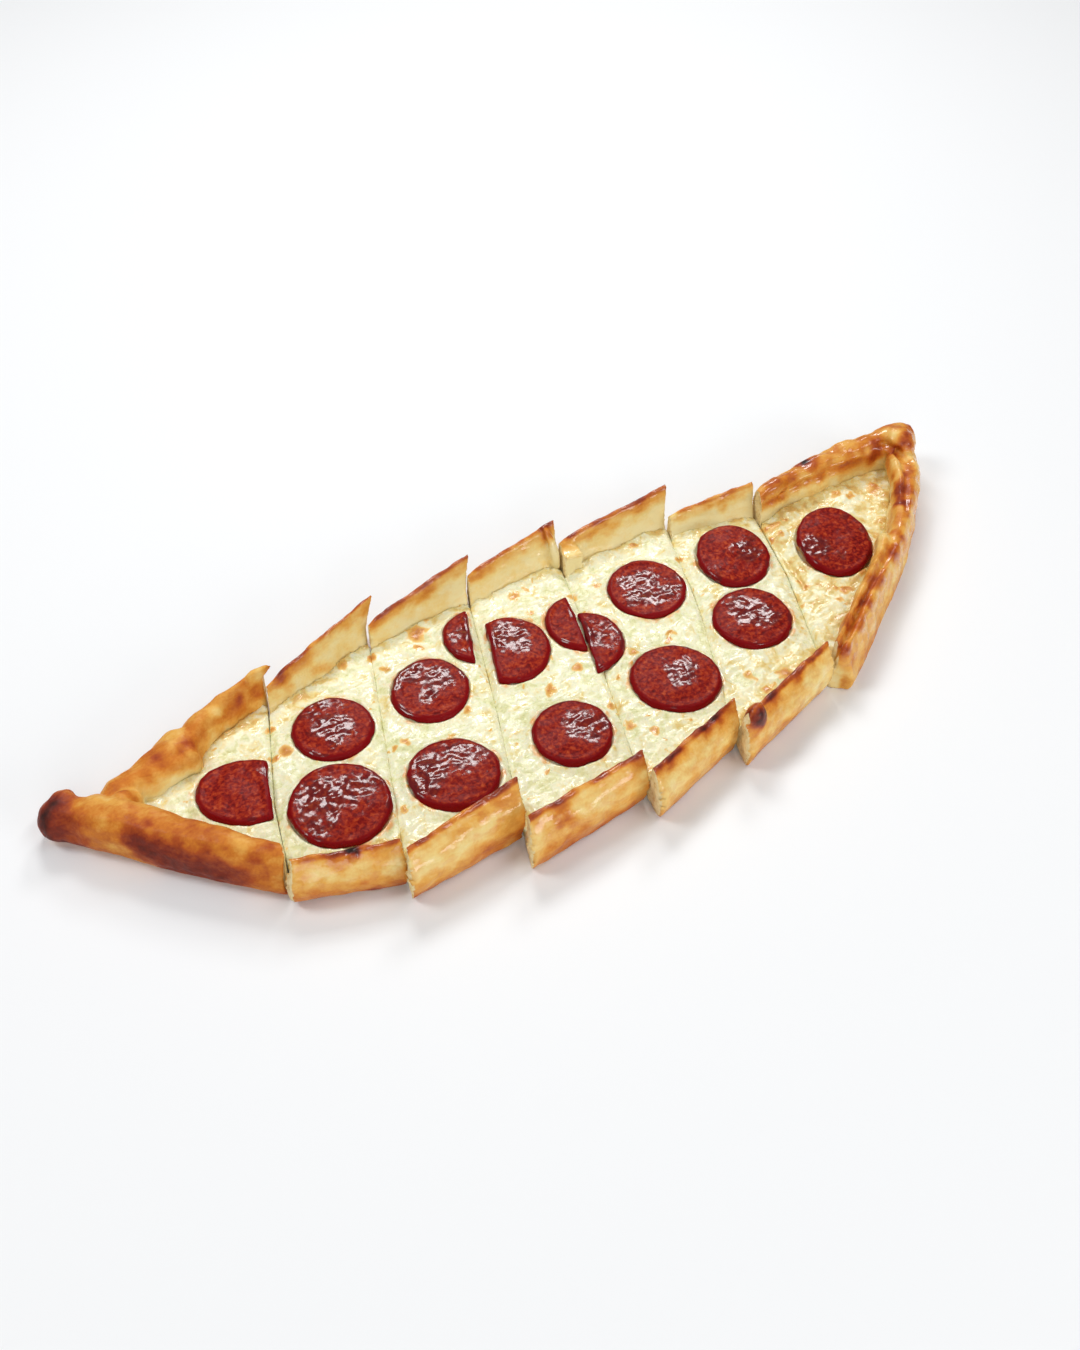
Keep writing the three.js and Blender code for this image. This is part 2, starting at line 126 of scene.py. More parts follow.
class Grain:
    """Seeded gradient noise over points in millimetres, about -1 to 1."""

    def __init__(self, seed: int) -> None:
        """Draws the table of leans.

        Args:
            seed: The same seed always gives the same grain.
        """
        draw = np.random.default_rng(seed)
        self.order = draw.permutation(256)
        lean = draw.normal(size=(256, 3))
        self.lean = lean / np.linalg.norm(lean, axis=1, keepdims=True)

    def at(self, points: np.ndarray, size: float, stretch: Triple = (1, 1, 1)) -> np.ndarray:
        """Reads the noise.

        Args:
            points: Points in millimetres, one a row.
            size: Width of one cell of the noise.
            stretch: How much longer a cell is along each axis.

        Returns:
            One value a point.
        """
        scaled = points / (size * np.array(stretch))
        cell = np.floor(scaled).astype(np.int64)
        part = scaled - cell
        blend = part**3 * (part * (part * 6 - 15) + 10)
        total = np.zeros(len(points))
        for corner in np.ndindex(2, 2, 2):
            at = cell + corner
            slot = self.order[at[:, 0] & 255] + at[:, 1]
            slot = self.order[slot & 255] + at[:, 2]
            slot = self.order[slot & 255]
            weight = np.prod(np.where(corner, blend, 1 - blend), axis=1)
            total += weight * np.einsum("ij,ij->i", self.lean[slot], part - corner)
        return total * 1.6

    def layered(self, points: np.ndarray, size: float, layers: int = 3, fade: float = 0.5) -> np.ndarray:
        """Adds layers of the noise, each half as wide as the last and weaker by fade."""
        return sum(self.at(points + 31.7 * i, size / 2**i) * fade**i for i in range(layers))


class Skin:
    """The closed surface of one piece, as points that can be moved and painted."""

    def __init__(self, mesh: bpy.types.Mesh) -> None:
        """Reads a mesh in the row's frame.

        Args:
            mesh: The mesh to work on.
        """
        self.mesh = mesh
        flat = np.empty(len(mesh.vertices) * 3, np.float32)
        mesh.vertices.foreach_get("co", flat)
        self.points = flat.reshape(-1, 3).astype(float) / MM - ORIGIN
        pairs = np.empty(len(mesh.edges) * 2, np.int32)
        mesh.edges.foreach_get("vertices", pairs)
        self.pairs = pairs.reshape(-1, 2)
        self.valence = np.bincount(pairs, minlength=len(self.points))
        self.normals = self.points * 0
        self.settle()

    def settle(self) -> None:
        """Writes the points back to the mesh and reads its normals again."""
        self.mesh.vertices.foreach_set("co", ((self.points + ORIGIN) * MM).astype(np.float32).ravel())
        self.mesh.update()
        flat = np.empty(len(self.points) * 3, np.float32)
        self.mesh.vertices.foreach_get("normal", flat)
        self.normals = flat.reshape(-1, 3).astype(float)

    def around(self, values: np.ndarray) -> np.ndarray:
        """Averages each point's neighbours.

        Args:
            values: One row, or one number, a point.

        Returns:
            The averages, shaped as the values are.
        """
        a, b = self.pairs[:, 0], self.pairs[:, 1]
        columns = values.reshape(len(values), -1).T
        count = len(values)
        summed = [np.bincount(a, c[b], count) + np.bincount(b, c[a], count) for c in columns]
        return (np.array(summed) / self.valence).T.reshape(values.shape)

    def smooth(self, rounds: int, free: Optional[np.ndarray] = None, keep: bool = True) -> None:
        """Evens the surface out.

        Args:
            rounds: How many times.
            free: How freely each point may move, 0 to 1; all move freely without it.
            keep: Whether each pull inwards is followed by a push, so that nothing thins.
        """
        share = np.ones(len(self.points)) if free is None else free
        for step in range(rounds):
            pull = -0.52 if keep and step % 2 else 0.5
            self.points += pull * share[:, None] * (self.around(self.points) - self.points)
        self.settle()

    def swell(self, amount: np.ndarray) -> None:
        """Moves every point outwards along its normal, by millimetres a point."""
        self.points += self.normals * amount[:, None]
        self.settle()

    def lift(self, amount: np.ndarray) -> None:
        """Moves every point straight up, by millimetres a point."""
        self.points[:, 2] += amount
        self.settle()

    def rest(self) -> None:
        """Keeps every point on or above the table."""
        self.points[:, 2] = np.maximum(self.points[:, 2], 0)
        self.settle()

    def paint(self, name: str, values: np.ndarray) -> None:
        """Stores one number a point under a name that the finish reads."""
        layer = self.mesh.attributes.new(name, "FLOAT", "POINT")
        layer.data.foreach_set("value", values.astype(np.float32))


def put(name: str, data: bpy.types.ID) -> bpy.types.Object:
    """Puts a mesh, lamp or camera into the scene.

    Args:
        name: The object's name.
        data: What it shows.

    Returns:
        The object.
    """
    made = bpy.data.objects.new(name, data)
    bpy.context.scene.collection.objects.link(made)
    return made


# ---- The finishes


class Recipe:
    """A material's nodes, wired as they are added."""

    def __init__(self, name: str) -> None:
        """Starts with a bare surface.

        Args:
            name: The material's name.
        """
        self.material = bpy.data.materials.new(name)
        self.material.use_nodes = True
        self.tree = self.material.node_tree
        self.tree.nodes.clear()
        self.surface = self.add("BsdfPrincipled", {})
        self.add("OutputMaterial", {0: self.surface.outputs[0]})
        self.place = self.add("TexCoord", {}).outputs["Object"]

    def wire(self, value: object, socket: bpy.types.NodeSocket) -> None:
        """Links a socket, or sets a plain value on it.

        Args:
            value: An output socket, or a number or colour.
            socket: The input it goes to.
        """
        if isinstance(value, bpy.types.NodeSocket):
            self.tree.links.new(value, socket)
        else:
            socket.default_value = value

    def add(self, kind: str, inputs: Dict[object, object], **settings: object) -> bpy.types.Node:
        """Adds a node.

        Args:
            kind: Its type, without the start that all share.
            inputs: What goes into each of its sockets.
            **settings: Its settings, by name.

        Returns:
            The node.
        """
        node = self.tree.nodes.new("ShaderNode" + kind)
        for name, setting in settings.items():
            setattr(node, name, setting)
        for key, value in inputs.items():
            self.wire(value, node.inputs[key])
        return node

    def grain(self, size: float, detail: float = 2, twist: float = 0, stretch: Triple = (1, 1, 1)) -> object:
        """Adds noise whose cells are size millimetres wide.

        Args:
            size: Cell width in millimetres.
            detail: How many finer layers.
            twist: How much the noise bends itself.
            stretch: How much longer a cell is along each axis.

        Returns:
            The socket of its value, 0 to 1.
        """
        where = self.place
        if stretch != (1, 1, 1):
            where = self.add("Mapping", {"Scale": [1 / s for s in stretch], "Vector": where}).outputs[0]
        inputs = {"Scale": 1 / (size * MM), "Detail": detail, "Distortion": twist, "Vector": where}
        return self.add("TexNoise", inputs).outputs[0]

    def cells(self, size: float) -> object:
        """Adds rounded cells of size millimetres, read as the distance from a cell's middle."""
        inputs = {"Scale": 1 / (size * MM), "Vector": self.place}
        return self.add("TexVoronoi", inputs).outputs["Distance"]

    def read(self, name: str) -> object:
        """Reads a number painted on the surface, by the attribute's name."""
        return self.add("Attribute", {}, attribute_name=name).outputs["Fac"]

    def sum(self, *values: object, how: str = "ADD", clamp: bool = False) -> object:
        """Joins numbers one after another.

        Args:
            *values: Sockets or numbers.
            how: The operation that joins them.
            clamp: Whether the last result stays within 0 and 1.

        Returns:
            The socket of the result.
        """
        result = values[0]
        for value in values[1:]:
            last = clamp and value is values[-1]
            result = self.add("Math", {0: result, 1: value}, operation=how, use_clamp=last).outputs[0]
        return result

    def swing(self, value: object, amount: float) -> object:
        """Centres a 0 to 1 value on nought and scales it, so that it sways by amount either way."""
        return self.sum(self.sum(value, -0.5), 2 * amount, how="MULTIPLY")

    def spread(self, value: object, low: float, high: float, least: float = 0, most: float = 1) -> object:
        """Maps a value from the range low to high smoothly onto least to most."""
        inputs = {"From Min": low, "From Max": high, "To Min": least, "To Max": most, "Value": value}
        return self.add("MapRange", inputs, interpolation_type="SMOOTHSTEP").outputs[0]

    def ramp(self, value: object, stops: Sequence[Tuple[float, Colour]]) -> object:
        """Turns a value into a colour.

        Args:
            value: The value's socket.
            stops: Places from 0 to 1, each with its colour.

        Returns:
            The colour's socket.
        """
        node = self.add("ValToRGB", {0: value})
        points = node.color_ramp.elements
        while len(points) < len(stops):
            points.new(0.5)
        for point, (at, _) in zip(points, stops):
            point.position = at
        for point, (_, colour) in zip(points, stops):
            point.color = (*colour, 1)
        return node.outputs[0]

    def mix(self, share: object, under: object, over: object) -> object:
        """Lays one colour over another, by the share of the upper one that shows."""
        under, over = [(*value, 1) if isinstance(value, tuple) else value for value in (under, over)]
        return self.add("Mix", {"Factor": share, 6: under, 7: over}, data_type="RGBA").outputs[2]

    def relief(self, height: object, strength: float, depth: float) -> None:
        """Adds fine relief to the surface, of a depth in millimetres."""
        inputs = {"Strength": strength, "Distance": depth * MM, "Height": height}
        self.set(Normal=self.add("Bump", inputs).outputs[0])

    def set(self, **values: object) -> None:
        """Sets or links inputs of the surface; an underscore stands for a space in a name."""
        for key, value in values.items():
            self.wire(value, self.surface.inputs[key.replace("_", " ")])


@dataclass(frozen=True)
class DoughFinish:
    """Baked dough: cream where the fold kept it pale, brown and then black where the oven reached it."""

    bakes: Tuple[Tuple[float, Colour], ...] = (
        (0.0, tone(238, 222, 166)),
        (0.16, tone(236, 206, 130)),
        (0.32, tone(226, 166, 74)),
        (0.46, tone(204, 120, 34)),
        (0.6, tone(172, 76, 22)),
        (0.74, tone(124, 38, 14)),
        (0.87, tone(74, 22, 12)),
        (1.0, tone(30, 12, 10)),
    )
    crumb: Tuple[Tuple[float, Colour], ...] = (
        (0.0, tone(196, 160, 98)),
        (0.45, tone(232, 208, 150)),
        (1.0, tone(243, 228, 184)),
    )

    def material(self) -> bpy.types.Material:
        """Makes the finish as a material."""
        recipe = Recipe("baked_dough")
        streaks = recipe.grain(2.6, 3, 0.4, (3.0, 1, 1))
        blotches = recipe.grain(7.5, 2, 0.3)
        freckles = recipe.grain(1.1, 2)
        # The painted bake holds a painted highlight and painted shade as well as the oven's browning.
        heat = recipe.sum(
            recipe.read("bake_and_painted_light"),
            recipe.swing(streaks, 0.1),
            recipe.swing(blotches, 0.12),
            recipe.swing(freckles, 0.07),
            clamp=True,
        )
        skin = recipe.ramp(heat, self.bakes)
        pores = recipe.sum(recipe.grain(0.9, 3), recipe.swing(recipe.cells(1.6), 0.3))
        inside = recipe.ramp(pores, self.crumb)
        torn = recipe.spread(recipe.sum(recipe.read("crumb"), recipe.swing(blotches, 0.25)), 0.35, 0.6)
        recipe.set(
            Base_Color=recipe.mix(torn, skin, inside),
            Roughness=recipe.sum(
                recipe.spread(blotches, 0.3, 0.7, 0.32, 0.5),
                recipe.spread(torn, 0, 1, 0, 0.3),
                recipe.spread(recipe.read("sheen"), 0, 0.5, 0.18, 0),
            ),
            Coat_Weight=recipe.sum(recipe.spread(streaks, 0.4, 0.62), recipe.read("sheen"), how="MULTIPLY"),
            Coat_Roughness=0.1,
            Specular_IOR_Level=0.25,
        )
        recipe.relief(recipe.sum(freckles, streaks), 0.5, 0.3)
        return recipe.material


@dataclass(frozen=True)
class CheeseFinish:
    """Melted cheese: ivory with pale green and yellow shades, toasted in spots."""

    shades: Tuple[Tuple[float, Colour], ...] = (
        (0.2, tone(208, 206, 146)),
        (0.38, tone(228, 226, 176)),
        (0.5, tone(240, 238, 206)),
        (0.6, tone(240, 232, 188)),
        (0.72, tone(232, 212, 140)),
        (0.88, tone(218, 176, 96)),
    )
    toasts: Tuple[Tuple[float, Colour], ...] = (
        (0.0, tone(240, 222, 158)),
        (0.4, tone(234, 190, 104)),
        (0.7, tone(208, 138, 60)),
        (1.0, tone(146, 78, 34)),
    )
    stained: Colour = tone(232, 152, 62)

    def material(self) -> bpy.types.Material:
        """Makes the finish as a material."""
        recipe = Recipe("melted_cheese")
        clouds = recipe.grain(6.0, 3, 0.6)
        fine = recipe.grain(1.4, 3, 0.4)
        shade = recipe.ramp(recipe.sum(clouds, recipe.swing(fine, 0.2), recipe.read("tan_and_shade")), self.shades)
        heat = recipe.sum(recipe.read("toast"), recipe.swing(fine, 0.24), recipe.swing(clouds, 0.1))
        oil = recipe.spread(recipe.sum(recipe.read("oil"), recipe.swing(fine, 0.3)), 0.2, 0.7, 0, 0.75)
        browned = recipe.mix(recipe.spread(heat, 0.16, 0.42), shade, recipe.ramp(heat, self.toasts))
        recipe.set(
            Base_Color=recipe.mix(oil, browned, self.stained),
            Roughness=recipe.spread(fine, 0.3, 0.7, 0.2, 0.42),
            Coat_Weight=recipe.spread(clouds, 0.45, 0.6, 0, 0.6),
            Coat_Roughness=0.1,
            Subsurface_Weight=0.12,
            Subsurface_Radius=(1.0, 0.7, 0.35),
            Subsurface_Scale=0.002,
        )
        recipe.relief(recipe.sum(fine, recipe.swing(clouds, 0.3)), 0.6, 0.45)
        return recipe.material


@dataclass(frozen=True)
class SucukFinish:
    """Fried sausage: brick red and grained in the middle, dark crimson along its edge, wet with oil."""

    meats: Tuple[Tuple[float, Colour], ...] = (
        (0.2, tone(78, 6, 8)),
        (0.42, tone(122, 16, 14)),
        (0.58, tone(152, 40, 18)),
        (0.78, tone(180, 74, 36)),
    )
    edge: Colour = tone(124, 6, 12)
    soaked: Colour = tone(70, 6, 12)

    def material(self) -> bpy.types.Material:
        """Makes the finish as a material."""
        recipe = Recipe("fried_sucuk")
        mince = recipe.grain(1.5, 2, 0.5)
        pools = recipe.grain(5.0, 2)
        beads = recipe.grain(1.7, 2, 0.8)
        meat = recipe.ramp(recipe.sum(mince, recipe.swing(pools, 0.16)), self.meats)
        edge = recipe.spread(recipe.sum(recipe.read("edge"), recipe.swing(pools, 0.3)), 0.2, 0.9)
        wet = recipe.spread(recipe.sum(recipe.read("wet"), recipe.swing(beads, 0.3)), 0.19, 0.6)
        recipe.set(
            Base_Color=recipe.mix(
                recipe.spread(wet, 0, 1, 0, 0.5), recipe.mix(edge, meat, self.edge), self.soaked
            ),
            Roughness=recipe.spread(wet, 0, 1, 0.45, 0.3),
            Coat_Weight=recipe.spread(wet, 0, 1, 0.02, 1),
            Coat_Roughness=0.15,
            Specular_IOR_Level=0.07,
        )
        recipe.relief(recipe.sum(mince, recipe.swing(beads, 0.5)), 0.32, 0.3)
        return recipe.material


# ---- Shared shaping


@dataclass(frozen=True)
class Cut:
    """One knife cut: it crosses the spine at x and runs askew on either side of it."""

    x: float
    near: float
    far: float

    def at(self, y: np.ndarray) -> np.ndarray:
        """X of the cut at each Y."""
        return self.x + (y - SPINE) * np.where(y < SPINE, self.near, self.far)

    def beyond(self, points: np.ndarray) -> np.ndarray:
        """How far each point lies to the right of the cut."""
        return points[:, 0] - self.at(points[:, 1])


CUTS = (
    Cut(-137, 0.27, 0.4),
    Cut(-90.7, 0.38, 0.38),
    Cut(-43.2, 0.4, 0.37),
    Cut(5.3, 0.36, 0.31),
    Cut(56.2, 0.49, 0.385),
    Cut(102, 0.45, 0.33),
)


def sides_of(slice_: int) -> Tuple[Optional[Cut], Optional[Cut]]:
    """The cuts at the left and the right of a slice, where the outer side of a tip has none."""
    return (None, *CUTS, None)[slice_ - 1 : slice_ + 1]


class Side(Enum):
    """Which side of a rim's line, walked from left to right, is the pide's outside."""

    NEAR = -1
    FAR = 1


@dataclass(frozen=True)
class Rim:
    """A rim's crest: points of x, y and height from left to right, and its outside."""

    side: Side
    line: Tuple[Triple, ...]

    def measure(self, points: np.ndarray) -> Tuple[np.ndarray, np.ndarray, np.ndarray]:
        """Reads where points lie beside the crest.

        Args:
            points: Points in millimetres.

        Returns:
            How far outside the crest's line each point lies, its height as a share of the crest's, and
            its distance from the line in plan.
        """
        line = np.array(self.line)
        best = np.full(len(points), FAR_AWAY)
        out, high = best * 0, best * 0 + 1
        for a, b in zip(line[:-1], line[1:]):
            way = b[:2] - a[:2]
            rel = points[:, :2] - a[:2]
            share = np.clip(rel @ way / (way @ way), 0, 1)
            gap = np.linalg.norm(rel - share[:, None] * way, axis=1)
            left = (way[0] * rel[:, 1] - way[1] * rel[:, 0]) / np.linalg.norm(way)
            near = gap < best
            best = np.where(near, gap, best)
            out = np.where(near, left * self.side.value, out)
            high = np.where(near, a[2] + share * (b[2] - a[2]), high)
        return out, points[:, 2] / high, best


@dataclass(frozen=True)
class Lump:
    """A rounded bit of dough fused to a crust: its middle, half sizes and turns in degrees."""

    middle: Triple
    half: Triple
    turn: float = 0
    tip: float = 0
    square: bool = False

    def add_to(self, shell: bmesh.types.BMesh) -> None:
        """Adds the lump to a shell.

        Args:
            shell: The shell, in the row's frame.
        """
        place = Matrix.Translation(Vector((np.array(self.middle) + ORIGIN) * MM))
        tip = Matrix.Rotation(math.radians(self.tip), 4, "X")
        turn = Matrix.Rotation(math.radians(self.turn), 4, "Z") @ tip
        size = Matrix.Diagonal((*(h * MM for h in self.half), 1))
        matrix = place @ turn @ size
        if self.square:
            made = bmesh.ops.create_cube(shell, size=2, matrix=matrix)
            edges = list({edge for vertex in made["verts"] for edge in vertex.link_edges})
            bmesh.ops.bevel(
                shell, geom=edges, offset=0.9 * MM, affect="EDGES", segments=2, profile=0.5, material=-1
            )
        else:
            bmesh.ops.create_icosphere(shell, subdivisions=3, radius=1, matrix=matrix)


@dataclass(frozen=True)
class Crease:
    """A furrow pressed into a surface from one point to another."""

    start: Triple
    end: Triple
    width: float
    depth: float

    def share(self, points: np.ndarray) -> np.ndarray:
        """Reads how strongly the furrow is felt.

        Args:
            points: Points in millimetres.

        Returns:
            A share a point, 0 to 1.
        """
        a, b = np.array(self.start), np.array(self.end)
        way = b - a
        along = np.clip((points - a) @ way / (way @ way), 0, 1)
        gap = np.linalg.norm(points - a - along[:, None] * way, axis=1)
        return hump(gap, 0, self.width)


@dataclass(frozen=True)
class Stain:
    """A patch that the oven browned more, or one painted paler where the strength is below nought."""

    middle: Triple
    radius: float
    strength: float
    charred: bool = False

    def share(self, points: np.ndarray) -> np.ndarray:
        """How strongly the patch is felt at each point, 0 to 1."""
        gap = np.linalg.norm(points - np.array(self.middle), axis=1)
        return hump(gap, 0, self.radius)


def spots(*rows: Tuple[float, ...], charred: Sequence[Tuple[float, ...]] = ()) -> Tuple[Stain, ...]:
    """Makes stains of rows of x, y, z, radius and strength, and the charred ones last."""
    plain = [Stain(row[:3], *row[3:]) for row in rows]
    return (*plain, *(Stain(row[:3], *row[3:], True) for row in charred))


def shell_of(node: str, crisp: bool) -> bmesh.types.BMesh:
    """Copies a solid's surface and joins its loose triangles.

    Args:
        node: The solid's name.
        crisp: Whether its flat cut faces are creased, so that softening leaves them.

    Returns:
        The joined copy.
    """
    shell = bmesh.new()
    shell.from_mesh(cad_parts[node].data)
    bmesh.ops.remove_doubles(shell, verts=shell.verts, dist=1e-6)
    if crisp:
        bmesh.ops.join_triangles(
            shell, faces=shell.faces, angle_face_threshold=math.pi, angle_shape_threshold=math.pi
        )
        creases = shell.edges.layers.float.new("crease_edge")
        shell.normal_update()
        for edge in shell.edges:
            ends = [abs(face.normal.x) > 0.75 for face in edge.link_faces]
            edge[creases] = 1.0 if sum(ends) == 1 else 0.0
    return shell


def fuse(shell: bmesh.types.BMesh, voxel: float, soften: int) -> Skin:
    """Fuses overlapping closed shapes into one even skin.

    Args:
        shell: The shapes, which are used up.
        voxel: Width of the skin's cells in millimetres.
        soften: Rounds of subdivision before the shapes are fused.

    Returns:
        The fused skin.
    """
    raw = bpy.data.meshes.new("shell")
    shell.to_mesh(raw)
    shell.free()
    carrier = put("shell", raw)
    if soften:
        rounding = carrier.modifiers.new("rounding", "SUBSURF")
        rounding.levels = rounding.render_levels = soften
    fusing = carrier.modifiers.new("fusing", "REMESH")
    fusing.mode = "VOXEL"
    fusing.voxel_size = voxel * MM * 1
    fusing.use_smooth_shade = True
    graph = bpy.context.evaluated_depsgraph_get()
    mesh = bpy.data.meshes.new_from_object(carrier.evaluated_get(graph), depsgraph=graph)
    bpy.data.objects.remove(carrier)
    bpy.data.meshes.remove(raw)
    return Skin(mesh)


def hand_over(skin: Skin, name: str, node: str, material: bpy.types.Material) -> None:
    """Makes a shaped and painted skin the piece that stands for a solid.

    Args:
        skin: The finished skin.
        name: The piece's name.
        node: The solid it stands for.
        material: Its finish.
    """
    skin.mesh.name = name
    skin.mesh.materials.clear()
    skin.mesh.materials.append(material)
    piece = put(name, skin.mesh)
    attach(piece, "root")
    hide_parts(node)
    LOG.info("%s stands for %s: %d faces", name, node, len(skin.mesh.polygons))


# ---- Sucuk


@dataclass(frozen=True)
class SucukRound:
    """One fried round: its middle, half widths and turn, its oily patches and the chord of a cut.

    Each oily patch has its place right of and above the middle as the round is looked down on from the
    near left, its radius, all in radii of the round, and how wet it is.
    """

    name: str
    x: float
    y: float
    rx: float
    ry: float
    turn: float = 0
    dome: float = 0.5
    oil: Tuple[Tuple[float, float, float, float], ...] = ()
    chord: Optional[Tuple[float, float, float, int]] = None
    slant: Pair = (0.0, 0.0)
    sunk: float = 1.2
    bump: float = 0.34
    voxel: float = 0.46

    def reach(self, points: np.ndarray) -> np.ndarray:
        """Reads how far out points lie.

        Args:
            points: Points in millimetres.

        Returns:
            Their distance from the round's middle, where 1 is its outline.
        """
        angle = math.radians(self.turn)
        dx, dy = points[:, 0] - self.x, points[:, 1] - self.y
        along = (dx * math.cos(angle) + dy * math.sin(angle)) / self.rx
        across = (dy * math.cos(angle) - dx * math.sin(angle)) / self.ry
        return np.hypot(along, across)

    def gap(self, points: np.ndarray) -> np.ndarray:
        """Reads how far points lie outside the round's outline, the cut side included.

        Args:
            points: Points in millimetres.

        Returns:
            Their distance in millimetres, below nought on the round.
        """
        gap = (self.reach(points) - 1) * (self.rx + self.ry) / 2
        if self.chord:
            x, y, lean, keep = self.chord
            gap = np.maximum(gap, (x + (points[:, 1] - y) * lean - points[:, 0]) * keep)
        return gap

    def wetness(self, points: np.ndarray, grain: Grain) -> np.ndarray:
        """Spreads the oily patches over the round.

        Args:
            points: Points in millimetres.
            grain: The round's grain.

        Returns:
            How wet each point is, from nought to about 1.
        """
        radius = (self.rx + self.ry) / 2
        apart = (points[:, :2] - (self.x, self.y)) / radius
        right, up = apart @ np.array(SEEN_RIGHT), apart @ np.array(SEEN_UP)
        wet = np.zeros(len(points))
        for u, v, size, strength in self.oil:
            gap = np.hypot(right - u, up - v) / size
            wet = np.maximum(wet, strength * np.exp(-(gap**2.5)))
        rim = 0.75 * hump(self.gap(points), -1.6, 1) * ease(0.1, 0.6, grain.at(points + 6, 9))
        beaded = 0.32 * grain.at(points + 12, 4) * (wet > 0.02) + 0.12 * grain.at(points, 2.4)
        return np.clip(np.maximum(wet + beaded, rim), 0, 1.1)

    def build(self, finish: bpy.types.Material, seed: int) -> None:
        """Shapes and hands over the round.

        Args:
            finish: The sausage's material.
            seed: Which grain it gets.
        """
        skin = fuse(shell_of(self.name, False), self.voxel, 0)
        skin.smooth(8)
        skin.smooth(9, keep=False)
        grain = Grain(seed)
        reach = self.reach(skin.points)
        gap = self.gap(skin.points)
        upper = ease(0.2, 0.7, skin.normals[:, 2])
        lip = 0.5 * hump(gap, -2.0, 1.3) * ease(-0.5, 0.5, grain.at(skin.points, 15))
        sway = 0.55 * grain.at(skin.points, 9)
        leaning = (skin.points[:, :2] - (self.x, self.y)) @ np.array(self.slant)
        skin.lift(upper * (self.dome * (1 - reach**2) + lip + sway + leaning) - self.sunk)
        wet = self.wetness(skin.points, grain)
        bumps = self.bump * grain.at(skin.points, 3.0) + 0.1 * grain.at(skin.points, 1.5)
        skin.swell(bumps * (0.3 + 0.7 * upper * ease(-1.2, -3.2, gap)) * (0.4 + 0.9 * wet))
        outline = 0.75 * grain.at(skin.points, 9) + 0.35 * grain.at(skin.points, 4)
        skin.swell(outline * (1 - upper))
        skin.paint("edge", np.maximum(ease(-3.2, -0.8, gap), 1 - upper))
        skin.paint("wet", wet)
        hand_over(skin, "fried_" + self.name, self.name, finish)


ROUNDS = (
    SucukRound("sucuk_1", -143.2, -30, 19.2, 15.6, -34, 0.2,
               ((0.3, 0.5, 0.2, 0.5), (0.6, 0.1, 0.15, 0.5)), (-137.4, -39.5, 0.33, -1)),
    SucukRound("sucuk_2_far", -102.8, -19, 16, 16.2, -20, 0.8,
               ((0, -0.05, 0.5, 1), (-0.6, 0.35, 0.4, 0.6), (-0.3, 0.7, 0.3, 0.6)), slant=(-0.01, 0.01)),
    SucukRound("sucuk_2_near", -117.2, -54.3, 19.2, 19.3, -32, 0.4,
               ((-0.3, 0.1, 0.5, 1), (0.25, 0.3, 0.5, 0.6), (0.6, 0.5, 0.3, 0.55), (-0.4, -0.4, 0.5, 0.6))),
    SucukRound("sucuk_3_far", -61.5, -20.6, 15.8, 17.3, -30, 0.3,
               ((-0.5, 0.5, 0.4, 0.8), (0.1, 0.3, 0.4, 0.9), (0, -0.25, 0.25, 0.9), (-0.85, 0.1, 0.25, 0.7))),
    SucukRound("sucuk_3_near", -74.9, -62.9, 17.9, 17.6, -32, 0.9,
               ((-0.45, 0.05, 0.42, 1), (0.1, 0.4, 0.5, 0.65), (0.5, 0.5, 0.3, 0.5), (-0.6, -0.3, 0.4, 0.9))),
    SucukRound("sucuk_3_cut", -28.9, -4.5, 16, 16, 0, 0.2, ((-0.4, 0, 0.8, 0.4),), (-33.4, -4.4, 0.42, -1)),
    SucukRound("sucuk_4_cut", -23.9, -17.9, 17.2, 18.9, -32, 0.8,
               ((0, 0.35, 0.45, 0.95), (0.25, 0.05, 0.3, 0.8)), (-31.6, -18, 0.39, 1)),
    SucukRound("sucuk_4_near", -26.6, -69.2, 15.8, 16.9, -36, 0.7,
               ((0.15, 0.2, 0.42, 1), (0.6, 0.3, 0.35, 0.6), (0.4, -0.1, 0.25, 0.7))),
    SucukRound("sucuk_4_right", 11.3, -20.3, 16.8, 17.2, -20, 0.2, (), (7.9, -20, 0.3, -1)),
    SucukRound("sucuk_5_cut", 4.6, -30.8, 16.2, 17.6, -32, 0.6,
               ((0.3, 0.2, 0.7, 0.42),), (6.6, -27, 0.36, 1)),
    SucukRound(MARKER, *MARKER_AT, 16.9, 18, -28, -0.5,
               ((-0.45, 0.15, 0.3, 0.8), (0, 0.3, 0.35, 0.8), (-0.2, -0.3, 0.35, 0.9), (0.5, -0.1, 0.3, 0.8),
                (0.2, -0.35, 0.3, 0.7))),
    SucukRound("sucuk_5_near", 23.6, -66.5, 18.6, 18.2, -32, 0.6,
               ((0.1, 0.1, 0.35, 0.95), (0.35, 0.25, 0.25, 0.6), (0, -0.2, 0.2, 0.6))),
    SucukRound("sucuk_6_far", 87, -20.8, 16.1, 18.8, -32, 0.7,
               ((0.38, 0.05, 0.36, 1), (0.5, 0.5, 0.2, 0.5), (-0.5, -0.75, 0.3, 0.5))),
    SucukRound("sucuk_6_near", 70.6, -55.2, 16.8, 17.9, -32, 0.7,
               ((0, 0.05, 0.5, 0.95), (-0.3, 0.5, 0.3, 0.6), (0.4, -0.1, 0.3, 0.8))),
    SucukRound("sucuk_7", 129.5, -37.2, 20.8, 16.6, 56, 0.6,
               ((-0.45, -0.3, 0.36, 0.95), (0.75, 0.3, 0.15, 0.6), (0.3, 0.75, 0.15, 0.6),
                (0.1, -0.55, 0.2, 0.5))),
)


# ---- Cheese


@dataclass(frozen=True)
class Toast:
    """A spot of cheese that bubbled up and browned."""

    x: float
    y: float
    radius: float


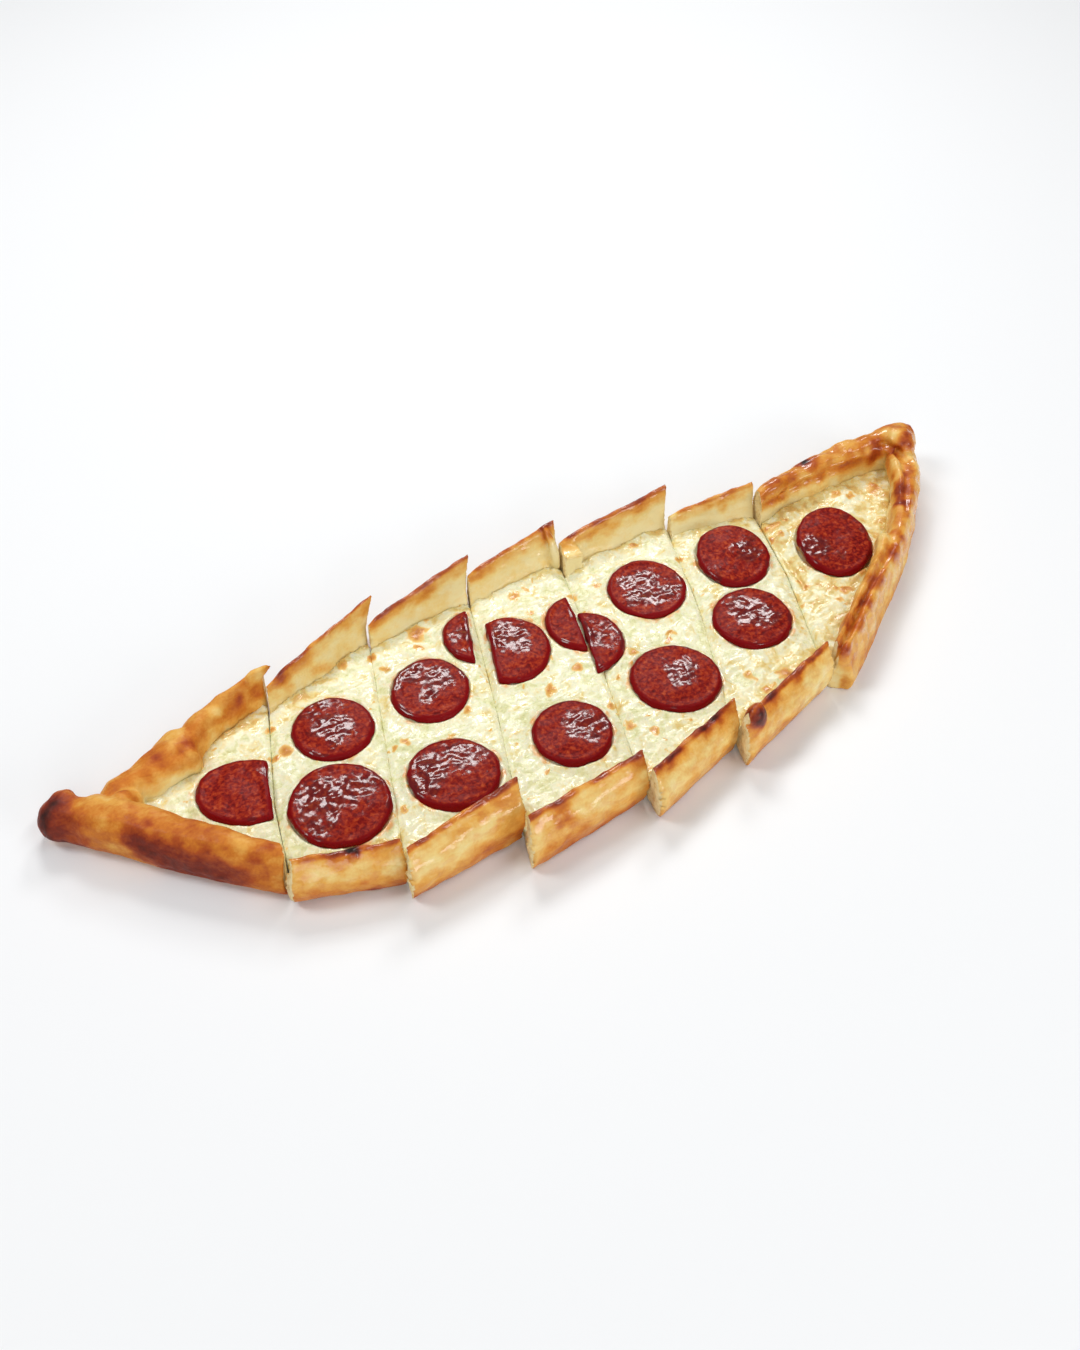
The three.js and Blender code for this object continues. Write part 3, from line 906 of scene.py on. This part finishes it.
TOASTS = tuple(Toast(*row) for row in (
    (-50.2, 10.8, 3.2), (-71.6, 9.2, 1.6), (-70.9, 0.1, 1.4), (-84.3, 10.5, 2), (-43, 15.4, 1.4),
    (-53.8, 3.4, 1.4), (-27.4, 17.8, 1.4), (-54.1, -38.1, 1.5), (-82.1, -38.2, 1.4), (-65.2, -45.2, 1.4),
    (-4.7, 9.4, 2.2), (-4.2, -3.3, 1.6), (13.3, 19.1, 2), (-20.7, -43.9, 2.2), (15.8, -2.9, 1.8),
    (28.6, -3.4, 1.4), (56.3, 9.1, 1.6), (68.6, -7.3, 1.8), (38.1, -43.4, 1.6), (34.7, -46.8, 1.6),
    (18, -45.2, 1.8), (-5.7, -40.3, 1.6), (5.6, -52.7, 1.2), (-5.3, -63.8, 1.6), (-4.8, -76.6, 2),
    (0.9, -84.4, 1.6), (49.8, -79.8, 2), (61.9, -87.4, 3), (51.7, -89.5, 1.6), (-122.6, -4.8, 1.6),
    (-122.9, -19, 2.2), (-127.7, -19.6, 1.6), (-87.4, -38.4, 1.2), (-98, -67.7, 1.6),
    (153.8, -10.2, 2.2), (172.7, -15.2, 2.6), (118.2, -12.1, 1.8), (111.9, -12.2, 1.6),
    (128.1, -57.1, 2), (114, -62.4, 1.6), (103.3, -51.2, 1.6), (115.9, -12.8, 2.2), (123.5, -11.9, 1.6),
    (109.6, -19.6, 1.6), (115.1, -18.7, 1.4), (158.9, -14.7, 1.8), (115.5, -61.4, 2.4),
    (108.8, -64.7, 1.8), (127.4, -57.4, 1.6), (111.9, -59.2, 1.4),
))


@dataclass(frozen=True)
class Cheese:
    """The melted cheese of one slice, between its cuts and its rims."""

    number: int
    parted: float = 0.0
    closing: float = 0.48
    running: float = 1.1
    # How much more tan the whole slice is painted: partly the cheese's own colour, partly painted shade.
    tan_and_shade: float = 0.0
    tears: Tuple[Crease, ...] = ()
    voxel: float = 0.72

    def from_cuts(self, points: np.ndarray) -> np.ndarray:
        """Reads how far points lie from the nearer cut.

        Args:
            points: Points in millimetres.

        Returns:
            Their distance along X.
        """
        gaps = [np.full(len(points), 99.0)]
        for cut, side in zip(sides_of(self.number), (1, -1)):
            if cut:
                gaps.append(side * cut.beyond(points))
        return np.min(gaps, axis=0)

    def build(self, finish: bpy.types.Material) -> None:
        """Shapes and hands over the cheese.

        Args:
            finish: The cheese's material.
        """
        node = f"cheese_{self.number}"
        skin = fuse(shell_of(node, False), self.voxel, 0)
        skin.smooth(16)
        self.spread(skin)
        self.ripple(skin)
        self.toast(skin)
        hand_over(skin, f"melted_{node}", node, finish)

    def spread(self, skin: Skin) -> None:
        """Runs the cheese up against the dough and rounds it over at the cuts.

        Args:
            skin: The cheese's skin.
        """
        cut = self.from_cuts(skin.points)
        sideways = 1 - np.abs(skin.normals[:, 2])
        shut = self.closing + 0.14 * Grain(Seed.CLOSING).at(skin.points, 14) - self.parted
        skin.swell(sideways * np.where(cut < 1.5, shut, self.running))
        edge = ease(2.6, 0.0, self.from_cuts(skin.points))
        top = ease(0.0, 0.5, skin.normals[:, 2])
        sunk = 0.4 - 0.35 * Grain(Seed.SINKING).at(skin.points, 11)
        skin.lift(-sunk * edge * top)

    def ripple(self, skin: Skin) -> None:
        """Gives the top its lumps and lets it rise round each round of sucuk.

        Args:
            skin: The cheese's skin.
        """
        grain = Grain(Seed.RIPPLE + self.number)
        points = skin.points
        top = ease(0.1, 0.6, skin.normals[:, 2])
        lumps = 0.9 * grain.at(points, 13) + 0.85 * grain.at(points + 50, 6)
        shreds = 0.75 * (0.5 - np.abs(grain.at(points + 90, 4, (1.6, 1, 1)))) + 0.24 * grain.at(points, 1.9)
        gap = np.min([round_.gap(points) for round_ in ROUNDS], axis=0)
        free = ease(-1.5, 1.5, gap)
        ring = hump(gap, 0.3, 1.9) * (1 + 0.35 * grain.at(points, 7))
        under = ease(0.5, -1.0, gap)
        level = CHEESE_TOP - CHEESE_UNDER_SUCUK - points[:, 2]
        edge = ease(2.2, 0.2, self.from_cuts(points))
        skin.lift(top * (free * (lumps + shreds) * (1 - 0.6 * edge) + ring * (1 - under) + under * level))
        for tear in self.tears:
            skin.lift(-top * tear.depth * tear.share(points + 0.8 * grain.at(points, 3)[:, None]))

    def toast(self, skin: Skin) -> None:
        """Raises and browns the toasted spots, and paints the cheese's tan, with painted shade near the rims
        and in its tears, and its oil.

        Args:
            skin: The cheese's skin.
        """
        grain = Grain(Seed.TOAST + self.number)
        points = skin.points
        wander = points[:, :2] + np.stack([grain.at(points, 3.1), grain.at(points + 40, 3.1)], axis=1) * 1.5
        brown = np.zeros(len(points))
        for spot in TOASTS:
            gap = np.hypot(wander[:, 0] - spot.x, wander[:, 1] - spot.y) / (spot.radius * 1.25)
            blister = hump(gap, 0, 1) - 0.16 * (spot.radius > 1.7) * hump(gap, 0, 0.5)
            brown = np.maximum(brown, blister * (0.55 + 0.13 * spot.radius))
        scorch = ease(0.1, 0.7, grain.layered(points, 9, 2)) * ease(0.1, 0.7, grain.at(points + 70, 2.6))
        brown = np.maximum(brown, 0.6 * scorch)
        top = ease(0.1, 0.6, skin.normals[:, 2])
        skin.lift(top * 0.45 * brown)
        skin.paint("toast", brown * top)
        hollow = ease(0.2, -0.7, grain.at(points + 50, 6)) * 0.09
        walls = [rim.measure(points)[2] for rim in CRUSTS[self.number - 1].rims]
        # Near the rims the cheese is painted tan and darker: partly its own colour, partly painted shade from
        # the dough.
        tan_and_shade_near_rims = ease(16, 7, np.min(walls, axis=0)) * (0.8 + 0.8 * grain.at(points + 3, 5))
        # Along each tear the cheese is painted darker: painted shade in the fold.
        torn = sum((0.3 * tear.share(points) for tear in self.tears), np.zeros(len(points)))
        clouds = 0.12 * ease(0.0, 0.8, grain.at(points + 20, 13))
        skin.paint("tan_and_shade", self.tan_and_shade + clouds + torn + 0.16 * tan_and_shade_near_rims - hollow)
        gap = np.min([round_.gap(points) for round_ in ROUNDS], axis=0)
        seep = ease(-0.5, 0.5, grain.at(points + 33, 9)) * (0.55 + 0.5 * grain.at(points, 3))
        skin.paint("oil", seep * ease(3.4, 0.3, gap))


CHEESES = (
    Cheese(1, parted=0.25),
    *(Cheese(number) for number in range(2, 6)),
    # Slices 6 and 7 are painted more tan: partly the cheese's own colour, partly painted shade from the rims.
    Cheese(6, tan_and_shade=0.07),
    Cheese(7, parted=0.25, tan_and_shade=0.17, tears=(
        Crease((109.3, -26, 6.8), (105.6, -39.9, 7), 1.1, 1.3),
        Crease((105.6, -39.9, 7), (102.2, -51.3, 7), 1.1, 1.3),
    )),
)


# ---- Dough


@dataclass(frozen=True)
class Crust:
    """The folded dough of one slice: its rims, its cuts, and what the folding and the oven left on it."""

    number: int
    rims: Tuple[Rim, ...]
    lumps: Tuple[Lump, ...] = ()
    creases: Tuple[Crease, ...] = ()
    stains: Tuple[Stain, ...] = ()
    rolled: bool = False
    heat: float = 0.0
    crest_heat: float = 0.0
    sheen: float = 0.8
    voxel: float = 0.7

    def build(self, finish: bpy.types.Material) -> None:
        """Shapes and hands over the dough.

        Args:
            finish: The dough's material.
        """
        node = f"crust_{self.number}"
        shell = shell_of(node, not self.rolled)
        for lump in self.lumps:
            lump.add_to(shell)
        skin = fuse(shell, self.voxel, 0 if self.rolled else 2)
        ends = self.cut_faces(skin)
        if self.rolled:
            skin.smooth(30, 1 - 0.9 * ends)
        skin.smooth(4, 1 - 0.5 * ends)
        self.knead(skin)
        self.bake_and_painted_light(skin)
        skin.rest()
        hand_over(skin, f"baked_{node}", node, finish)

    def cut_faces(self, skin: Skin) -> np.ndarray:
        """Finds the faces that the knife left.

        Args:
            skin: The dough's skin.

        Returns:
            A share a point, 1 on a cut face.
        """
        share = np.zeros(len(skin.points))
        for cut, side in zip(sides_of(self.number), (-1, 1)):
            if cut:
                near = ease(4.5, 1.2, np.abs(cut.beyond(skin.points)))
                share = np.maximum(share, near * ease(0.6, 0.82, side * skin.normals[:, 0]))
        return share

    def knead(self, skin: Skin) -> None:
        """Gives the dough its uneven surface, its creases and its torn ends.

        Args:
            skin: The dough's skin.
        """
        grain = Grain(Seed.KNEAD + self.number)
        points = skin.points
        ends = self.cut_faces(skin)
        raised = ease(1.0, 6.0, points[:, 2])
        broad, fine = (0.8, 0.45) if self.rolled else (0.35, 0.28)
        sway = broad * grain.at(points, 13) + fine * grain.at(points + 9, 6)
        wrinkles = 0.13 * grain.at(points + 30, 2.6, (2.6, 1, 1)) + 0.05 * grain.at(points, 1.3)
        pull = sum((crease.depth * crease.share(points) for crease in self.creases), np.zeros(len(points)))
        gaps = [rim.measure(points)[2] for rim in self.rims]
        loose = 1 + 0.6 * self.rolled * ease(-4, 4, gaps[0] - gaps[1])
        skin.swell((1 - ends) * loose * (raised * sway + wrinkles) - pull)
        pores = np.maximum(0, grain.at(points + 60, 1.9)) * 0.55 + np.maximum(0, grain.at(points, 1.1)) * 0.3
        skin.swell(-ends * pores)
        out, high, _ = self.rims[0].measure(skin.points)
        sunk = np.exp(-(((out - 1) / 3.2) ** 2) - ((high - 0.5) / 0.3) ** 2)
        skin.swell(-ends * sunk * (1.5 + 1.4 * grain.at(skin.points + 90, 5)))
        for rim in self.rims:
            if not self.rolled:
                self.ruffle(skin, rim, grain)

    def ruffle(self, skin: Skin, rim: Rim, grain: Grain) -> None:
        """Makes a straight rim's crest and foot uneven, and its near shoulder full.

        Args:
            skin: The dough's skin.
            rim: The rim to work on.
            grain: The dough's grain.
        """
        out, high, gap = rim.measure(skin.points)
        ends = self.cut_faces(skin)
        if rim.side is Side.NEAR:
            shoulder = ease(0.1, 0.5, high) * ease(1.06, 0.6, high) * ease(0.3, 1.6, out) * ease(10, 7, gap)
            patchy = 2.2 + 0.9 * grain.at(skin.points + 17, 11)
            skin.swell(patchy * shoulder * (1 - 0.6 * ends))
        points = skin.points
        crest = ease(0.8, 1.0, high) * ease(4.5, 2.0, gap)
        wavy, ragged = (0.8, 0.35) if rim.side is Side.NEAR else (0.45, 0.2)
        skin.lift(crest * (wavy * grain.at(points + 5, 9) + ragged * grain.at(points + 8, 2.6)))
        foot = ease(5.0, 1.0, points[:, 2]) * ease(2.0, 4.0, out) * (1 - ends)
        skin.swell(foot * 0.6 * grain.at(points + 70, 7))

    def bake_and_painted_light(self, skin: Skin) -> None:
        """Browns the dough and paints light and shade into the same colour: a painted highlight on the rims'
        outer shoulders, painted shade in the creases and a darker band along the foot.

        Args:
            skin: The dough's skin.
        """
        grain = Grain(Seed.BAKE + self.number)
        points = skin.points
        ends = self.cut_faces(skin)
        brown = np.full(len(points), 0.1)
        reach = np.full(len(points), FAR_AWAY)
        sheen = np.full(len(points), self.sheen)
        blotch = grain.at(points + 44, 7)
        outside = np.maximum.reduce([rim.measure(points)[0] for rim in self.rims])
        for rim in self.rims:
            out, high, gap = rim.measure(points)
            near = rim.side is Side.NEAR
            level = high + 0.1 * grain.at(points + 15, 10) + 0.05 * grain.at(points + 25, 4)
            if self.rolled:
                inner = 0.08 + 0.24 * ease(0.35, 0.8, level) + 0.1 * blotch
                outer = 0.32 + 0.1 * ease(0.5, 0.1, level) + 0.06 * blotch
                crest = self.crest_heat * ease(0.84, 1.0, level) * ease(5.0, 2.0, np.abs(out)) * (1 + blotch)
            else:
                # A paler band on each rim's outer shoulder, below the crest, is a painted highlight taken off
                # the bake.
                painted_highlight = ease(0.5, 0.64, level) * ease(0.92, 0.8, level) * ease(-0.3, 0.5, blotch)
                low = 0.1 * ease(0.6, 0.25, level) + 0.12 * ease(0.26, 0.04, level)
                # A thin band along the foot is painted darker.
                foot = 0.1 * ease(0.1, 0.0, high)
                outer = 0.32 + (low + foot) - 0.16 * painted_highlight + 0.07 * blotch
                inner = 0.05 + 0.27 * ease(0.63, 0.92, level) + 0.16 * ease(0.1, 0.9, blotch)
                line = ease(0.93, 1.0, high) * ease(2.1, 1.0, np.abs(out))
                if near:
                    crest = 0.36 * line * np.clip(0.75 + 0.8 * blotch, 0.2, 1.4)
                else:
                    crest = 0.3 * line * np.clip(0.9 + 0.5 * blotch, 0.5, 1.2)
            shade = inner + (outer - inner) * ease(-1.0, 1.6, outside) + crest
            closer = gap < reach
            brown = np.where(closer, shade, brown)
            facing = ease(-1.5, 1.0, out if near else 1 - out)
            sheen = np.where(closer, self.sheen * (0.35 + 0.9 * ease(0.45, 0.7, level) * facing), sheen)
            reach = np.minimum(reach, gap)
        wander = points + 1.6 * np.stack([grain.at(points + i * 37, 4.2) for i in range(3)], axis=1)
        brown = brown + self.heat + 0.1 * grain.at(points, 16) + 0.08 * grain.at(points + 80, 5)
        # Each crease is painted darker along its furrow: painted shade.
        for crease in self.creases:
            brown = brown + 0.22 * crease.share(points)
        for stain in self.stains:
            brown = brown + (not stain.charred) * stain.strength * stain.share(wander)
        brown = np.minimum(brown, WELL_DONE + 0.3 * np.maximum(brown - WELL_DONE, 0))
        for stain in self.stains:
            brown = brown + stain.charred * stain.strength * stain.share(wander)
            sheen = sheen * (1 - 0.6 * stain.charred * stain.share(points))
        brown = np.where(skin.normals[:, 2] < -0.7, 0.45 + 0.15 * grain.at(points, 8), brown)
        skin.paint("bake_and_painted_light", np.clip(brown, 0, 1))
        skin.paint("crumb", ends)
        skin.paint("sheen", sheen)


def middle_rims(slice_: int, near: Pair, far: Pair, near_height: Pair, far_height: Pair) -> Tuple[Rim, Rim]:
    """Lays the two straight rims of a middle slice.

    Args:
        slice_: The slice's number.
        near: Y of the near crest at the left and right cut.
        far: Y of the far crest.
        near_height: Height of the near crest.
        far_height: Height of the far crest.

    Returns:
        The near and the far rim.
    """
    cuts = CUTS[slice_ - 2 : slice_]

    def crest(side: Side, ys: Pair, heights: Pair) -> Rim:
        """Runs a crest from cut to cut."""
        ends = [(float(cut.at(np.array(y))), y, z) for cut, y, z in zip(cuts, ys, heights)]
        return Rim(side, tuple(ends))

    return crest(Side.NEAR, near, near_height), crest(Side.FAR, far, far_height)


CRUSTS = (
    Crust(
        1,
        (
            Rim(Side.NEAR, ((-209, 0.5, 14), (-200.5, -9, 17.6), (-190.6, -19.6, 18), (-178, -34.6, 20.5),
                            (-167, -47.4, 21.4), (-155, -61, 21.3), (-137, -80, 21.2))),
            Rim(Side.FAR, ((-193, -15, 13.5), (-182, -7.8, 16), (-168, -4.2, 17), (-154.7, 1, 18),
                           (-140.7, 7, 19), (-127, 10.6, 20), (-104, 17, 21.7))),
        ),
        creases=(
            Crease((-146.2, -1, 14), (-150.3, -8, 7.5), 1.5, 1.8),
            Crease((-190, -7.6, 17), (-181, -13, 19), 2.2, 0.5),
        ),
        stains=spots(
            (-203, -3.6, 17.4, 5, 0.16), (-128, 6, 9, 5, 0.2), (-134, 3.6, 12, 5, 0.1),
            (-205, -12, 15, 8, 0.14), (-189, -15, 19, 8, -0.12), (-185.7, -34, 18, 4.5, 0.3),
            (-185.4, -37.8, 13.6, 6, 0.44), (-179.8, -45.3, 12.4, 7, 0.42), (-178.9, -47, 6, 7, 0.38),
            (-171.2, -54.6, 9.4, 8, 0.46), (-163.5, -62, 9, 7, 0.38), (-150, -76, 4, 9, 0.06),
            (-181.4, -7.3, 15.9, 3.6, 0.18), (-170.7, -8.2, 16.2, 4.4, 0.12),
            (-165.9, -6.1, 16.8, 3.4, 0.12), (-155, -4.6, 15.9, 4, 0.22), (-150, -6, 9, 3, 0.2),
            (-138.2, 2.9, 13, 4, 0.12), (-127.8, 7, 14, 3.2, 0.24), (-121.3, 9.4, 14, 3, 0.16),
            (-138.8, 5.4, 18, 4.5, -0.2), (-154.3, 1, 18, 3.4, -0.16), (-165, -11.7, 9, 8, -0.3),
            (-178, -12, 9, 6, -0.24), (-118, 12, 21, 5, -0.2),
            charred=((-212, -7, 11, 11, 0.25), (-206, -13, 6, 11, 0.15), (-210, -5.5, 15, 7, 0.1)),
        ),
        heat=0.1,
        crest_heat=0.02,
        sheen=0.04,
        rolled=True,
    ),
    Crust(
        2,
        middle_rims(2, (-75.2, -87.6), (8.6, 25.5), (19, 19.5), (17, 23)),
        lumps=(Lump((-126, -83.4, 17.5), (2.0, 1.7, 2.3), 20),),
        stains=spots(
            (-116.4, 8, 14, 5, 0.12), (-110, 9, 14.5, 4, 0.14), (-100, 12.4, 16, 4, 0.12),
            (-132.9, -80, 19, 3, 0.2), (-118, -86, 4, 6, 0.14),
            charred=((-125.9, -83.3, 19, 2.2, 0.6),),
        ),
    ),
    Crust(
        3,
        middle_rims(3, (-94.4, -89.4), (17.9, 26.6), (22.5, 25.5), (17, 23)),
        stains=spots(
            (-67, 16, 18, 4, 0.2), (-56.4, 20.7, 20, 5, 0.14), (-81.5, -96.5, 9, 4, 0.14),
            (-92, -92, 19, 9, -0.1), (-66, -92, 12, 5, 0.1),
        ),
    ),
    Crust(
        4,
        middle_rims(4, (-104.6, -100.3), (22.2, 26), (22, 22), (17.5, 24)),
        creases=(
            Crease((17.8, 23.8, 23.3), (17.2, 19.8, 18.1), 1.2, 1.5),
            Crease((17.2, 19.8, 18.1), (17.7, 17.3, 11.4), 1.2, 1.5),
        ),
        stains=spots(
            (-55.8, -107.4, 18.5, 4, 0.3), (-20, -101, 22, 4, 0.24), (21.9, 24.8, 23, 3.4, 0.22),
            (19.8, 16, 13, 5, -0.16), (-16, 19.2, 20, 5, 0.14),
            charred=((20.8, 21.5, 20.6, 1.7, 0.4),),
        ),
    ),
    Crust(
        5,
        middle_rims(5, (-110.3, -96.6), (19.6, 20.4), (22, 22), (17.5, 23)),
        lumps=(Lump((26.9, 13.8, 8.8), (4.1, 4.0, 5.6), -4, -6, True),),
        heat=-0.03,
        stains=spots(
            (30.8, 12.8, 11, 2.2, 0.34), (31, 15, 15, 2.6, 0.24), (43.1, 16.1, 14, 6, 0.14),
            (64.4, 16.6, 15, 6, 0.12), (26, 11, 10, 4, -0.2),
            charred=(
                (23, -98.8, 22.2, 3.4, 0.26), (16, -101.2, 22, 3.2, 0.34), (10, -103.2, 21.8, 2.6, 0.24),
                (-5, -107.4, 21.8, 2.6, 0.2), (-11, -109, 22, 3, 0.3), (-17, -110.2, 21.8, 3, 0.3),
            ),
        ),
    ),
    Crust(
        6,
        middle_rims(6, (-107.2, -91.2), (11.6, 4.2), (21.5, 20.5), (14.8, 20.6)),
        lumps=(Lump((29, -107.7, 21), (5.2, 3.9, 5.2), 26),),
        heat=-0.05,
        stains=spots(
            (24.4, -109, 22, 2.2, -0.12), (55.9, -99.3, 21, 3.4, 0.3), (66, -97, 21, 3, 0.2),
            (100.2, 4.5, 13.6, 2.6, 0.34), (116.7, 2.8, 14, 3, 0.26),
            charred=(
                (29.6, -110.8, 21.4, 5.2, 0.55), (28.4, -109.4, 25, 3.8, 0.34),
                (41.2, -103, 21, 3.6, 0.34),
            ),
        ),
    ),
    Crust(
        7,
        (
            Rim(Side.NEAR, ((62, -112, 21.2), (80, -99.5, 21), (97, -89.5, 20.7), (117, -76, 20.4),
                            (138, -62.5, 20), (156, -49, 19.8), (172, -34.5, 19.4), (186, -21, 19),
                            (194, -9, 18.5))),
            Rim(Side.FAR, ((98, -4.5, 19.2), (114, -2.6, 19.6), (130, 1, 20), (146, 3, 20.6), (162, 3, 21),
                           (178, 1.4, 21.2), (192, -1, 24.6), (203, -3.5, 23))),
        ),
        creases=(
            Crease((184.6, -4.6, 21), (187.2, -11, 19.6), 1.7, 2.0),
            Crease((187.2, -11, 19.6), (188, -19, 19), 1.7, 2.0),
            Crease((181, -24, 20.5), (163, -44.5, 19), 1.3, 1.1),
            Crease((141.5, -60.5, 19.5), (129, -67.5, 20), 1.3, 1.1),
            Crease((129, -67.5, 20), (96, -85.6, 20.5), 1.1, 0.7),
            Crease((112, -4.5, 13), (127, -4, 14), 1.9, 1.4),
            Crease((127, -4, 14), (142.2, -3.2, 15), 1.9, 1.4),
            Crease((142.2, -3.2, 15), (172, -4.3, 14.5), 1.9, 1.2),
        ),
        stains=spots(
            (143.6, 4.4, 21.5, 2.6, 0.35), (128.7, 1.2, 20.1, 4.6, 0.23), (136.5, 3, 20.2, 4, 0.19),
            (162.8, -0.3, 20.1, 4.2, 0.04), (167, -3.2, 16.3, 3.8, 0.22), (173, -2, 17.5, 3.4, 0.14),
            (181.5, -4.4, 19.3, 4, 0.31), (178.7, -5.2, 15.3, 3.4, 0.22), (195.2, -7.9, 25, 3.4, 0.23),
            (192.9, -12.7, 21.6, 2.6, 0.22), (187, -11.1, 19, 3.4, 0.36), (190, -3, 25, 5, -0.16),
            (174.2, -23.2, 19, 3.4, 0.22), (167.7, -32.9, 19.7, 4, 0.45), (163.2, -39.2, 19.2, 3, 0.41),
            (150.1, -58, 16.7, 5, 0.09), (139.7, -64.2, 17.6, 3.4, 0.27),
            (121.8, -72.9, 20.2, 3.6, 0.22), (115.9, -73.1, 21.4, 3, 0.18), (104.4, -80, 21.3, 4, 0.23),
            (92, -87.4, 22, 5, 0.23), (81, -95, 21.5, 4, 0.27),
            charred=((147, 4.2, 20.6, 3.8, 0.6),),
        ),
        heat=-0.01,
        crest_heat=0.12,
        rolled=True,
    ),
)


# ---- The set


def aim(thing: bpy.types.Object, stands: Vector, aims: Vector) -> None:
    """Stands a lamp or the camera at one place and turns it towards another."""
    thing.location = stands
    thing.rotation_euler = (aims - stands).to_track_quat("-Z", "Y").to_euler()


@dataclass(frozen=True)
class Softbox:
    """A studio light: where it stands, where it points, its width and depth in metres and its power."""

    name: str
    stands: Triple
    aims: Triple
    width: float
    depth: float
    power: float
    colour: Colour = (1, 1, 1)

    def build(self) -> None:
        """Adds the light to the scene."""
        lamp = bpy.data.lights.new(self.name, "AREA")
        lamp.shape, lamp.size, lamp.size_y = "RECTANGLE", self.width, self.depth
        lamp.energy, lamp.color = self.power, self.colour
        aim(put(self.name, lamp), Vector(self.stands), Vector(self.aims))


@dataclass(frozen=True)
class Studio:
    """The pale floor, the lights and the camera, whose places are in millimetres of the plan."""

    floor_half: float = 4.0
    camera_at: Triple = (-227.3, -364.6, 403.0)
    camera_aims: Triple = (-16.3, -29.4, 0.0)
    lens: float = 37.333
    lights: Tuple[Softbox, ...] = (
        Softbox("key", (-0.85, 0.45, 1.2), (0, 0, 0), 0.5, 0.5, 7.4),
        Softbox("window_left", (0.25, 0.84, 1.03), (0, 0, 0), 0.38, 0.32, 5.4),
        Softbox("window_right", (0.85, 0.95, 1.03), (0, 0, 0), 0.38, 0.32, 5.4),
        Softbox("overhead", (0.45, -0.36, 1.15), (0.2, 0, 0), 0.9, 0.22, 3.6),
        Softbox("side", (0.56, -1.35, 0.46), (0, 0, 0), 0.9, 0.4, 6.5),
        Softbox("front", (-0.7, -1.25, 0.9), (0, 0, 0), 1.0, 1.0, 7.4),
    )

    def build(self) -> None:
        """Sets everything that isn't food."""
        self.lay_floor()
        for light in self.lights:
            light.build()
        world = bpy.data.worlds.new("studio")
        world.use_nodes = True
        background = world.node_tree.nodes["Background"]
        background.inputs["Color"].default_value = (1, 1, 1, 1)
        background.inputs["Strength"].default_value = 0.15
        bpy.context.scene.world = world
        bpy.context.scene.view_settings.view_transform = "Standard"
        self.set_camera()

    def lay_floor(self) -> None:
        """Lays the floor just under the food."""
        shell = bmesh.new()
        bmesh.ops.create_grid(shell, x_segments=2, y_segments=2, size=self.floor_half)
        mesh = bpy.data.meshes.new("floor")
        shell.to_mesh(mesh)
        shell.free()
        mesh.transform(Matrix.Translation((0, 0, -0.0001)))
        floor = put("floor", mesh)
        recipe = Recipe("pale_floor")
        recipe.set(Base_Color=(0.86, 0.87, 0.88, 1), Roughness=0.6)
        mesh.materials.append(recipe.material)

    def set_camera(self) -> None:
        """Stands the camera where it looks down on the pide from its near left side."""
        lens = bpy.data.cameras.new("camera")
        lens.lens = self.lens
        camera = put("camera", lens)
        places = (self.camera_at, self.camera_aims)
        aim(camera, *(Vector((np.array(place) + ORIGIN) * MM) for place in places))
        bpy.context.scene.camera = camera


def main() -> None:
    """Builds the crusts, the cheese and the rounds, and then the studio round them."""
    logging.basicConfig(level=logging.INFO, format="%(message)s")
    dough = DoughFinish().material()
    for crust in CRUSTS:
        crust.build(dough)
    cheese = CheeseFinish().material()
    for layer in CHEESES:
        layer.build(cheese)
    sucuk = SucukFinish().material()
    for seed, round_ in enumerate(ROUNDS, Seed.ROUND):
        round_.build(sucuk, seed)
    Studio().build()


if __name__ == "__main__":
    main()
